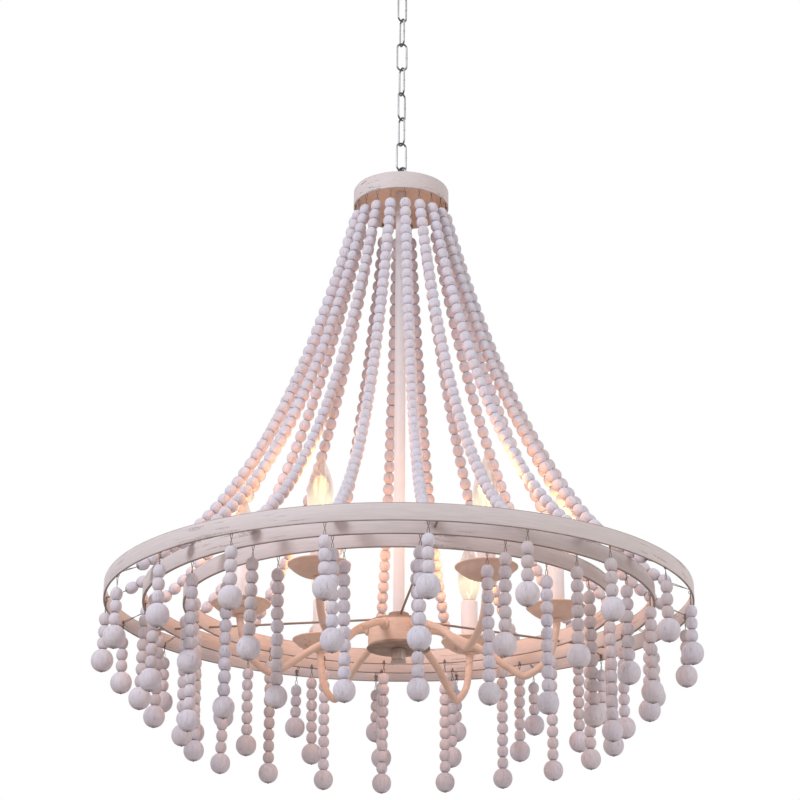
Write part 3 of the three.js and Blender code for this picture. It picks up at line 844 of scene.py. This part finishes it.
def wire_eye(centre, across, hooks):
    """A small upright eye of wire."""
    route = ring_route(centre, across, UP, hooks.eye, EYE_STEPS)
    return swept(route, hooks.wire, WIRE_SIDES, closed=True)


def crossed_wire(top, end, side, hooks):
    """A thin closed wire between two points, which crosses itself half way."""
    half = (top - end) / 2
    apart = half.cross(side).normalized() * CROSSED_APART * hooks.wire
    turns = [FULL_TURN * i / CROSSED_STEPS for i in range(CROSSED_STEPS)]
    route = [(top + end) / 2 + half * math.cos(t) + side * hooks.spread * math.sin(2 * t)
             + apart * math.sin(t) for t in turns]
    return swept(route, hooks.wire, WIRE_SIDES, closed=True)


def knot(place, way, hooks):
    """A small knot of wire about a point."""
    reach_out = way * hooks.knot
    return swept([place - reach_out, place, place + reach_out], hooks.knot, FINE_SIDES)


def strand_pieces(row, quarter, string, wires):
    """Make the beads and the wires of one quarter of a row of strands."""
    nodes = [f"{row}_strands_{quarter}"]
    new_piece(f"{row}_beads_{quarter}", string, "bead_wood", nodes, sharp=80)
    new_piece(f"{row}_wires_{quarter}", gathered(wires), "dark_wire")


class Drape:
    """The hanging curve of the long strands in their own upright plane."""

    def __init__(self, sizes):
        low = rise("outer_ring")[0]
        self.start = sizes.top_radius
        self.end = reach("outer_ring")[0] - sizes.inside_ring
        self.bend = sizes.bend
        drop = rise("top_cap")[0] - sizes.below_cap - (low + sizes.above_ring)
        half_run = math.sinh((self.end - self.start) / (2 * self.bend))
        tilt = self.bend * math.asinh(drop / (2 * self.bend * half_run))
        self.lowest = (self.start + self.end) / 2 + tilt
        self.base = low + sizes.above_ring - self.rise_at(self.end)
        self.first = math.sinh((self.lowest - self.start) / self.bend)
        last = math.sinh((self.lowest - self.end) / self.bend)
        self.length = self.bend * (self.first - last)

    def rise_at(self, radius):
        return self.bend * math.cosh((self.lowest - radius) / self.bend)

    def at(self, turn, distance):
        """The point and the direction at a distance along the strand."""
        slope = self.first - distance / self.bend
        radius = self.lowest - self.bend * math.asinh(slope)
        point = around(turn, radius, self.base + self.rise_at(radius))
        way = around(turn, 1.0, -slope).normalized()
        return point, way


class CHANDELIER_OT_stage(bpy.types.Operator):
    """Make the camera, the lights, the white surroundings and the floor"""

    bl_idname = "chandelier.stage"
    bl_label = "Stage"

    def execute(self, context):
        settings = context.scene.chandelier_stage
        lens = bpy.data.cameras.new("camera")
        lens.lens = settings.lens
        camera = placed("camera", lens)
        camera.location = (0, -settings.camera_back, settings.camera_height)
        pitch = Matrix.Rotation(math.pi / 2 + settings.camera_pitch, 3, "X")
        lean = Matrix.Rotation(settings.camera_roll, 3, "Z")
        camera.rotation_euler = (pitch @ lean).to_euler()
        context.scene.camera = camera
        context.scene.view_settings.view_transform = "Standard"
        self.surroundings(context, settings)
        key = self.panel_light("key_light", KEY_PLACE, KEY_WIDTH, settings.key)
        key.color = settings.key_colour
        self.panel_light("fill_light", FILL_PLACE, FILL_WIDTH, settings.fill)
        self.floor(settings)
        for lamp in LAMPS:
            self.bulb_light(lamp, settings.bulb, context.scene.chandelier_colours.glow)
        return {"FINISHED"}

    def surroundings(self, context, settings):
        """Soft light from all round, seen as plain white directly, in metal and through glass."""
        world = bpy.data.worlds.new("surroundings")
        world.use_nodes = True
        context.scene.world = world
        sky = Finish(world.node_tree)
        seen = [sky.node("ShaderNodeLightPath", output=f"Is {kind} Ray")
                for kind in ("Camera", "Glossy", "Transmission")]
        direct = sky.maths("MAXIMUM", sky.maths("MAXIMUM", seen[0], seen[1]), seen[2])
        height = sky.part(sky.node("ShaderNodeTexCoord", output="Generated"), "Z")
        above = sky.step(height, -HORIZON_SPREAD, HORIZON_SPREAD)
        soft = settings.ambient_below + (settings.ambient - settings.ambient_below) * above
        white = (1, 1, 1, 1)
        soft_colour = sky.blend(above, shade(settings.below_colour), white)
        strength = soft + (1 - soft) * direct
        shown = {"Color": sky.blend(direct, soft_colour, white), "Strength": strength}
        backdrop = sky.node("ShaderNodeBackground", sockets=shown)
        sky.node("ShaderNodeOutputWorld", sockets={"Surface": backdrop})

    def panel_light(self, name, place, width, strength):
        """A round panel that faces the middle of the rings."""
        data = bpy.data.lights.new(name, "AREA")
        data.shape = "DISK"
        data.size = width
        data.energy = strength
        light = placed(name, data)
        light.location = place
        aim = UP * sum(rise("outer_ring")) / 2 - place
        light.rotation_euler = aim.to_track_quat("-Z", "Y").to_euler()
        return data

    def bulb_light(self, lamp, strength, glow):
        low, high = rise(f"bulb_{lamp}")
        data = bpy.data.lights.new(f"bulb_light_{lamp}", "POINT")
        data.energy = strength
        data.color = glow
        data.shadow_soft_size = BULB_LIGHT_RADIUS
        light = placed(f"bulb_light_{lamp}", data)
        light.location = (*axis_of(f"bulb_{lamp}"), low + BULB_LIGHT_HEIGHT_SHARE * (high - low))
        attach(light, "fixture")

    def floor(self, settings):
        bm = bmesh.new()
        bmesh.ops.create_grid(bm, x_segments=2, y_segments=2, size=FLOOR_REACH)
        bmesh.ops.translate(bm, verts=bm.verts, vec=(0, 0, settings.floor_height))
        mesh = meshed("studio_floor", bm)
        pale = bpy.data.materials.new("studio_floor")
        pale.use_nodes = True
        finish = Finish(pale.node_tree)
        mottle = finish.noise(finish.place(), 3.0, 2.0)
        shown = finish.blend(mottle, (0.9, 0.9, 0.9, 1), (0.94, 0.94, 0.94, 1))
        seen = finish.node("ShaderNodeLightPath", output="Is Camera Ray")
        base = finish.blend(seen, shade(settings.floor_bounce), shown)
        finish.surface({"Base Color": base, "Roughness": 0.8})
        mesh.materials.append(pale)
        placed("studio_floor", mesh)


class CHANDELIER_OT_ceiling_pieces(bpy.types.Operator):
    """Make the ceiling strap, the canopy and the loop below it"""

    bl_idname = "chandelier.ceiling_pieces"
    bl_label = "Ceiling pieces"

    def execute(self, context):
        metal = context.scene.chandelier_metal
        strap = bmesh.new()
        strap.from_mesh(bpy.data.objects["mounting_strap"].data)
        bmesh.ops.remove_doubles(strap, verts=strap.verts, dist=MERGE)
        bmesh.ops.dissolve_limit(
            strap, angle_limit=math.radians(1), verts=strap.verts, edges=strap.edges
        )
        soften(strap, metal.edge / 2)
        new_piece("ceiling_strap", strap, "plated_steel",
                  ["mounting_strap"], body="ceiling_mount")
        hole, radius = reach("ceiling_canopy")
        low, top = rise("ceiling_canopy")
        depth = top - low
        wall = metal.pan_wall
        outside = [(r * radius, top - d * depth) for r, d in CANOPY_SHARES]
        inside = [(r * (radius - wall), top - d * (depth - wall)) for r, d in CANOPY_SHARES]
        profile = [*outside, (hole, low), (hole, low + wall), *reversed(inside)]
        canopy = soften(turned(profile, DRUM_FACETS, closed=True), metal.edge, least=60)
        new_piece("canopy_cover", canopy, "bright_chrome",
                  ["ceiling_canopy"], body="ceiling_mount")
        make_loop("canopy_loop", "ceiling_mount", -1, metal)
        return {"FINISHED"}


def make_loop(node, body, upward, metal):
    """A screwed loop: its stud, collar and neck, and the round eye, above it where upward is 1."""
    low, high = rise(node)
    stud_end, eye_edge = (low, high) if upward > 0 else (high, low)
    eye = eye_edge - upward * (metal.loop_radius + metal.loop_wire / 2)
    steps = sorted({
        round(corner.co.z, 5) for corner in bpy.data.objects[node].data.vertices
        if math.hypot(corner.co.x, corner.co.y) > 0.99 * COLLAR_RADIUS
        and abs(corner.co.z - eye) > EYE_CLEARANCE
    })
    near, far = (steps[0], steps[-1]) if upward > 0 else (steps[-1], steps[0])
    neck_end = eye - upward * metal.loop_radius
    profile = [(0.0, stud_end), (STUD_RADIUS, stud_end), (STUD_RADIUS, near), (COLLAR_RADIUS, near),
               (COLLAR_RADIUS, far), (NECK_RADII[0], far), (NECK_RADII[1], far + upward * NECK_TAPER),
               (NECK_RADII[2], neck_end), (0.0, neck_end)]
    shank = soften(turned(profile, ROD_FACETS), metal.edge, least=50)
    route = ring_route(Vector((0, 0, eye)), flat_way(node), UP, metal.loop_radius, LOOP_STEPS)
    ring = swept(route, metal.loop_wire / 2, LOOP_SIDES, closed=True)
    new_piece(f"{node}_bright", gathered([shank, ring]), "bright_chrome", [node], body)


class CHANDELIER_OT_chain(bpy.types.Operator):
    """Make the links of the chain"""

    bl_idname = "chandelier.chain"
    bl_label = "Chain"

    def execute(self, context):
        metal = context.scene.chandelier_metal
        wire = metal.link_wire / 2
        for link in LINKS:
            node = f"chain_link_{link}"
            low, high = rise(node)
            across = flat_way(node)
            bend = reach(node)[1] - wire
            leg = (high - low) / 2 - wire - bend
            middle = Vector((0, 0, (low + high) / 2))
            seam = middle + bend * across
            half_leg = [UP * (metal.link_split / 2 + leg * i / 3) for i in range(3)]
            route = [seam + up for up in half_leg]
            for side in (1, -1):
                for i in range(BOW_STEPS + 1):
                    t = math.pi * i / BOW_STEPS
                    bow = side * bend * math.cos(t) * across
                    route.append(middle + bow + UP * side * (leg + bend * math.sin(t)))
            route.extend(seam - up for up in reversed(half_leg))
            weld = [seam + UP * metal.weld * i for i in (-1, 0, 1)]
            shape = gathered(
                [swept(route, wire, LINK_SIDES), swept(weld, WELD_SWELL * wire, LINK_SIDES)]
            )
            new_piece(f"{node}_bright", shape, "bright_chrome", [node], f"link_{link}")
        return {"FINISHED"}


class CHANDELIER_OT_cap(bpy.types.Operator):
    """Make the round cap and the loop that holds it"""

    bl_idname = "chandelier.cap"
    bl_label = "Cap"

    def execute(self, context):
        metal = context.scene.chandelier_metal
        hole, radius = reach("top_cap")
        low, high = rise("top_cap")
        wall = metal.cap_wall
        profile = [
            (hole, high), (radius - CAP_CURVE, high), (radius - CAP_CURVE / 3, high - CAP_CURVE / 3),
            (radius, high - CAP_CURVE), (radius, low), (radius - wall, low),
            (radius - wall, high - wall - CAP_CURVE), (radius - wall - CAP_CURVE, high - wall),
            (hole, high - wall),
        ]
        cap = soften(turned(profile, CAP_FACETS, closed=True), metal.edge, least=60)
        # The faces inside the cap take the warmer copy of the paint: painted warm lamplight
        for face in cap.faces:
            middle = face.calc_center_median()
            within = math.hypot(middle.x, middle.y) < radius - wall / 2
            face.material_index = int(within and middle.z < high - wall / 2)
        drum = new_piece("cap_drum", cap, "cap_paint", ["top_cap"])
        drum.data.materials.append(material("cap_inside"))
        make_loop("cap_loop", "fixture", 1, metal)
        return {"FINISHED"}


class CHANDELIER_OT_stem(bpy.types.Operator):
    """Make the centre stem with its nut"""

    bl_idname = "chandelier.stem"
    bl_label = "Stem"

    def execute(self, context):
        edge = context.scene.chandelier_metal.edge
        bore, radius = reach("centre_stem")
        stem = tube(bore, radius, *rise("centre_stem"), ROD_FACETS, edge)
        low = rise("top_cap")[0] - NUT_DROP
        nut = tube(radius - NUT_OVERLAP, radius + NUT_WALL, low, low + NUT_HEIGHT, 6, edge)
        new_piece("stem_tube", added(stem, nut), "cream_paint", ["centre_stem"])
        return {"FINISHED"}


class CHANDELIER_OT_hub(bpy.types.Operator):
    """Make the hub drum, its bottom plate and the finial"""

    bl_idname = "chandelier.hub"
    bl_label = "Hub"

    def execute(self, context):
        metal = context.scene.chandelier_metal
        hole, radius = reach("hub_drum")
        low, high = rise("hub_drum")
        wall = metal.hub_wall
        profile = [(hole, high), (radius, high), (radius, low), (radius - wall, low),
                   (radius - wall, high - wall), (hole, high - wall)]
        drum = soften(turned(profile, DRUM_FACETS, closed=True), 2 * metal.edge)
        new_piece("hub_shell", drum, "hub_paint", ["hub_drum"])
        node = "hub_bottom_plate"
        plate = tube(*reach(node), *rise(node), DRUM_FACETS, 1.5 * metal.edge)
        new_piece("hub_plate", plate, "hub_paint", [node])
        foot, top = rise("bottom_finial")
        lip = reach("bottom_finial")[1]
        face = rise(node)[0] - GAP
        groove = [(lip - inset, foot + height) for inset, height in FINIAL_GROOVE]
        profile = [(0.0, top), (STUD_RADIUS, top), (STUD_RADIUS, face), (groove[0][0], face),
                   *groove, (lip, foot), (0.0, foot)]
        finial = soften(turned(profile, ROD_FACETS), 1.5 * metal.edge, least=50)
        new_piece("finial_knob", finial, "rubbed_knob", ["bottom_finial"], "finial")
        return {"FINISHED"}


class CHANDELIER_OT_rings(bpy.types.Operator):
    """Make the three flat rings and the spokes that carry them"""

    bl_idname = "chandelier.rings"
    bl_label = "Rings and spokes"

    def execute(self, context):
        metal = context.scene.chandelier_metal
        for row in ("outer", "middle", "inner"):
            node = f"{row}_ring"
            band = tube(*reach(node), *rise(node), BAND_FACETS, metal.edge)
            new_piece(f"{row}_band", band, "band_paint", [node])
        self.spokes(metal)
        return {"FINISHED"}

    def spokes(self, metal):
        """Three rods from a collar on the hub to the outer ring."""
        low = rise("hub_drum")[1] + GAP
        high = low + SPOKE_COLLAR_HEIGHT
        bore = reach("ring_spokes")[0]
        parts = [tube(bore, SPOKE_COLLAR_RADIUS, low, high, ROD_FACETS, metal.edge)]
        end = reach("outer_ring")[0] - SPOKE_END_GAP
        for i in range(SPOKES):
            turn = metal.spoke_turn + FULL_TURN * i / SPOKES
            route = [around(turn, SPOKE_COLLAR_RADIUS - SPOKE_SUNK, (low + high) / 2),
                     around(turn, end, rise("outer_ring")[0] + SPOKE_END_HEIGHT)]
            parts.append(swept(route, metal.spoke_radius, SPOKE_SIDES))
        new_piece("spoke_rods", gathered(parts), "rod_paint", ["ring_spokes"])


class CHANDELIER_OT_arms(bpy.types.Operator):
    """Make the six candle arms with their flanges, nuts and lamp holders"""

    bl_idname = "chandelier.arms"
    bl_label = "Arms"

    def execute(self, context):
        metal = context.scene.chandelier_metal
        hub = reach("hub_drum")[1]
        start = rise("hub_drum")[1] - metal.arm_below_hub
        seat = rise("drip_pan_1")[0] - GAP
        for lamp in LAMPS:
            centre = axis_of(f"candle_sleeve_{lamp}")
            run = math.hypot(*centre)
            out = Vector((*centre, 0)) / run
            bends = [(hub - ARM_SUNK, start), (hub, start)]
            bends += [(hub + o * (run - hub), start - d * metal.arm_dip) for o, d in ARM_SHARES]
            bends += [(run, seat - drop) for drop in ARM_END_DROPS]
            route = smooth_route([out * far + UP * height for far, height in bends], ARM_STEPS)
            arm = gathered([
                swept(route, metal.arm_radius, ARM_SIDES),
                self.flange(out, hub, start, metal),
                self.holder(lamp, centre, seat, metal),
            ])
            new_piece(f"candle_arm_{lamp}", arm, "arm_paint", [f"arm_{lamp}"])
        return {"FINISHED"}

    def flange(self, out, hub, start, metal):
        """The nut inside the hub and the turned flange outside it."""
        part = soften(turned(FLANGE_PROFILE, NUT_FACETS), 0.75 * metal.edge, least=50)
        tip = UP.rotation_difference(out).to_matrix().to_4x4()
        move = Matrix.Translation(out * hub + UP * start) @ tip
        bmesh.ops.transform(part, matrix=move, verts=part.verts)
        return part

    def holder(self, lamp, centre, seat, metal):
        """The seat below the drip pan and the lamp holder inside the candle sleeve."""
        low = rise(f"candle_sleeve_{lamp}")[0]
        high = rise(f"arm_{lamp}")[1]
        profile = [(radius, seat - drop) for radius, drop in SEAT_PROFILE]
        floor = high - SOCKET_DEPTH
        profile += [(profile[-1][0], low), (HOLDER_RADIUS, low), (HOLDER_RADIUS, high),
                    (SOCKET_RADIUS, high), (SOCKET_RADIUS, floor), (0.0, floor)]
        return soften(turned(profile, NUT_FACETS, centre=centre), metal.edge / 2, least=50)


class CHANDELIER_OT_lamps(bpy.types.Operator):
    """Make the drip pans, the candle sleeves and the bulbs"""

    bl_idname = "chandelier.lamps"
    bl_label = "Pans, sleeves and bulbs"

    def execute(self, context):
        metal = context.scene.chandelier_metal
        for lamp in LAMPS:
            node = f"candle_sleeve_{lamp}"
            centre = axis_of(node)
            self.pan(lamp, centre, metal)
            sleeve = tube(*reach(node, centre), *rise(node), BULB_FACETS, 2 * metal.edge, centre)
            new_piece(f"sleeve_{lamp}", sleeve, "cream_paint", [node])
            self.bulb(lamp, centre, rise(node)[1] + GAP)
        return {"FINISHED"}

    def pan(self, lamp, centre, metal):
        """A shallow bowl with a hole in its floor and a rolled rim."""
        node = f"drip_pan_{lamp}"
        hole, radius = reach(node, centre)
        low, high = rise(node)
        wall, lip = metal.pan_wall, metal.pan_lip
        outside = [(r * radius, low + h * (high - low)) for r, h in PAN_SHARES]
        inside = [(r * (radius - wall), low + wall + h * (high - low - wall)) for r, h in PAN_SHARES]
        rim = [(radius - inset * lip, high - drop * lip) for inset, drop in PAN_RIM_SHARES]
        profile = [(hole, low), *outside, *rim, *reversed(inside), (hole, low + wall)]
        pan = turned(profile, PAN_FACETS, closed=True, centre=centre)
        new_piece(f"pan_{lamp}", pan, "arm_paint", [node])

    def bulb(self, lamp, centre, bottom):
        """The glass, the screw and the filament of a bulb whose glass starts at a height."""
        node = f"bulb_{lamp}"
        low, high = rise(node)
        widest = reach(node, centre)[1]
        outside = [(r * widest, bottom + h * (high - bottom)) for r, h in GLASS_SHARES]
        glass = turned([(0.0, bottom), *outside], BULB_FACETS, centre=centre)
        new_piece(f"bulb_glass_{lamp}", glass, "bulb_glass", [node], node, sharp=80)
        cup = [(radius, low + height) for radius, height in SCREW_FOOT]
        cup += [(THREAD_RADII[i % 2], low + THREAD_START + i * THREAD_STEP)
                for i in range(THREAD_STEPS)]
        cup += [(radius, bottom + height) for radius, height in SCREW_TOP]
        screw = turned(cup, SCREW_FACETS, centre=centre)
        new_piece(f"bulb_screw_{lamp}", screw, "plated_steel", body=node, sharp=50)
        middle = Vector((*centre, bottom + FILAMENT_HEIGHT_SHARE * (high - bottom)))
        strips = []
        for side in (-1, 1):
            strip = [middle + Vector((side * FILAMENT_APART, 0, FILAMENT_STEP * i))
                     for i in range(-2, 3)]
            strip[0].x = middle.x + side * FILAMENT_FOOT_APART
            strips.append(swept(strip, FILAMENT_RADIUS, FINE_SIDES))
        new_piece(f"bulb_filament_{lamp}", gathered(strips), "lit_filament", body=node)


class CHANDELIER_OT_draped_strands(bpy.types.Operator):
    """Make the long bead strands between the cap and the outer ring"""

    bl_idname = "chandelier.draped_strands"
    bl_label = "Draped strands"

    def execute(self, context):
        beads = context.scene.chandelier_beads
        drape = Drape(context.scene.chandelier_drape)
        count = round(drape.length / beads.pitch)
        spacing = drape.length / count
        form = bead_form(beads.small, spacing, beads.flat_end, beads.fullness, SMALL_BEAD_FACETS)
        chance = random.Random(DRAPED_SEED)
        for quarter, name in enumerate(QUARTERS):
            string = bead_string()
            wires = []
            for turn in strand_turns(quarter, beads.outer_turn, beads):
                strand = DRAPED_TONE_SHARE * chance.random()
                for i in range(count):
                    point, way = drape.at(turn, (i + 0.5) * spacing)
                    way = (way + wander(chance, DRAPED_TILT)).normalized()
                    spin = chance.random() * FULL_TURN
                    string_bead(string, form, spacing, point, way, spin, chance.random(), strand)
                wires.extend(self.wires(turn, drape, context.scene))
            strand_pieces("draped", name, string, wires)
        return {"FINISHED"}

    def wires(self, turn, drape, scene):
        """The wire through a strand, and those that hold it in the cap and in the outer ring."""
        hooks = scene.chandelier_hooks
        side = around(turn, 1.0, 0.0).cross(UP)
        cap_wall = reach("top_cap")[1] - scene.chandelier_metal.cap_wall
        ring_height = rise("outer_ring")[0] + hooks.rise + hooks.drape_rise
        cap_eye = around(turn, cap_wall - hooks.stand_off, rise("top_cap")[0] + hooks.cap_rise)
        ring_eye = around(turn, reach("outer_ring")[0] - hooks.stand_off, ring_height)
        through = [drape.at(turn, drape.length * i / DRAPE_STEPS)[0] for i in range(DRAPE_STEPS + 1)]
        parts = [swept(through, hooks.wire, 5)]
        for eye, distance in ((cap_eye, 0.0), (ring_eye, drape.length)):
            bead_end, way = drape.at(turn, distance)
            parts.append(wire_eye(eye, side, hooks))
            parts.append(crossed_wire(eye, bead_end, side, hooks))
            parts.append(knot(bead_end, way, hooks))
        return parts


class CHANDELIER_OT_hanging_strands(bpy.types.Operator):
    """Make the short strands that hang from the three rings"""

    bl_idname = "chandelier.hanging_strands"
    bl_label = "Hanging strands"

    def execute(self, context):
        beads = context.scene.chandelier_beads
        hooks = context.scene.chandelier_hooks
        small = bead_form(beads.small, beads.pitch, beads.flat_end, beads.fullness, SMALL_BEAD_FACETS)
        rows = (("outer", beads.outer_count, beads.large, beads.outer_turn),
                ("middle", beads.middle_count, beads.large, beads.first_turn),
                ("inner", beads.inner_count, beads.inner_large, beads.first_turn))
        chance = random.Random(HANGING_SEED)
        for row, count, diameter, first_turn in rows:
            large = bead_form(
                diameter, diameter, beads.flat_end, beads.large_fullness, LARGE_BEAD_FACETS
            )
            radius = reach(f"{row}_ring")[0] - hooks.stand_off
            height = rise(f"{row}_ring")[0] + hooks.rise
            first = hooks.rise + hooks.drop
            for quarter, name in enumerate(QUARTERS):
                string = bead_string()
                wires = []
                for turn in strand_turns(quarter, first_turn, beads):
                    eye = around(turn, radius, height)
                    lean = wander(chance, beads.sway)
                    lean.z = 0
                    down = (lean - UP).normalized()
                    strand = chance.random()
                    for i in range(count):
                        place = eye + down * (first + (i + 0.5) * beads.pitch)
                        place += wander(chance, HANGING_SHIFT)
                        way = (down + wander(chance, HANGING_TILT)).normalized()
                        spin = chance.random() * FULL_TURN
                        own = chance.random()
                        string_bead(string, small, beads.pitch, place, way, spin, own, strand)
                    place = eye + down * (first + count * beads.pitch + diameter / 2)
                    spin = chance.random()
                    own = chance.random()
                    tone = LARGE_TONE_SHARE * strand
                    string_bead(string, large, diameter, place, down, spin, own, tone)
                    foot = place + down * diameter / 2
                    wires.extend(self.hook(turn, eye, down, first, foot, hooks))
                strand_pieces(row, name, string, wires)
        return {"FINISHED"}

    def hook(self, turn, eye, down, first, foot, hooks):
        """The eye on the ring, the crossed wire through it and the knots at a strand's ends."""
        out = around(turn, 1.0, 0.0)
        top = eye - down * hooks.wire
        end = eye + down * first
        parts = [wire_eye(eye, out, hooks), crossed_wire(top, end, out.cross(UP), hooks)]
        parts.extend(knot(place, down, hooks) for place in (end, foot))
        return parts


class CHANDELIER_PT_pieces(bpy.types.Panel):
    """The chandelier's sizes, colours and pieces"""

    bl_label = "Chandelier"
    bl_idname = "CHANDELIER_PT_pieces"
    bl_space_type = "VIEW_3D"
    bl_region_type = "UI"
    bl_category = "Chandelier"

    def draw(self, context):
        for operator in OPERATORS:
            self.layout.operator(operator.bl_idname)
        for name in GROUPS:
            box = self.layout.box()
            group = getattr(context.scene, name)
            for key in group.bl_rna.properties.keys():
                if key not in ("rna_type", "name"):
                    box.prop(group, key)


OPERATORS = (
    CHANDELIER_OT_stage,
    CHANDELIER_OT_ceiling_pieces,
    CHANDELIER_OT_chain,
    CHANDELIER_OT_cap,
    CHANDELIER_OT_stem,
    CHANDELIER_OT_hub,
    CHANDELIER_OT_rings,
    CHANDELIER_OT_arms,
    CHANDELIER_OT_lamps,
    CHANDELIER_OT_draped_strands,
    CHANDELIER_OT_hanging_strands,
)

GROUPS = {
    "chandelier_beads": BeadSizes,
    "chandelier_hooks": HookSizes,
    "chandelier_drape": DrapeSizes,
    "chandelier_metal": MetalSizes,
    "chandelier_colours": FinishColours,
    "chandelier_stage": StageSettings,
}


def register():
    for name, group in GROUPS.items():
        bpy.utils.register_class(group)
        setattr(bpy.types.Scene, name, PointerProperty(type=group))
    for operator in OPERATORS:
        bpy.utils.register_class(operator)
    bpy.utils.register_class(CHANDELIER_PT_pieces)


def unregister():
    bpy.utils.unregister_class(CHANDELIER_PT_pieces)
    for operator in reversed(OPERATORS):
        bpy.utils.unregister_class(operator)
    for name, group in GROUPS.items():
        delattr(bpy.types.Scene, name)
        bpy.utils.unregister_class(group)


def main():
    register()
    for operator in OPERATORS:
        group, call = operator.bl_idname.split(".")
        getattr(getattr(bpy.ops, group), call)()


if __name__ == "__main__":
    main()
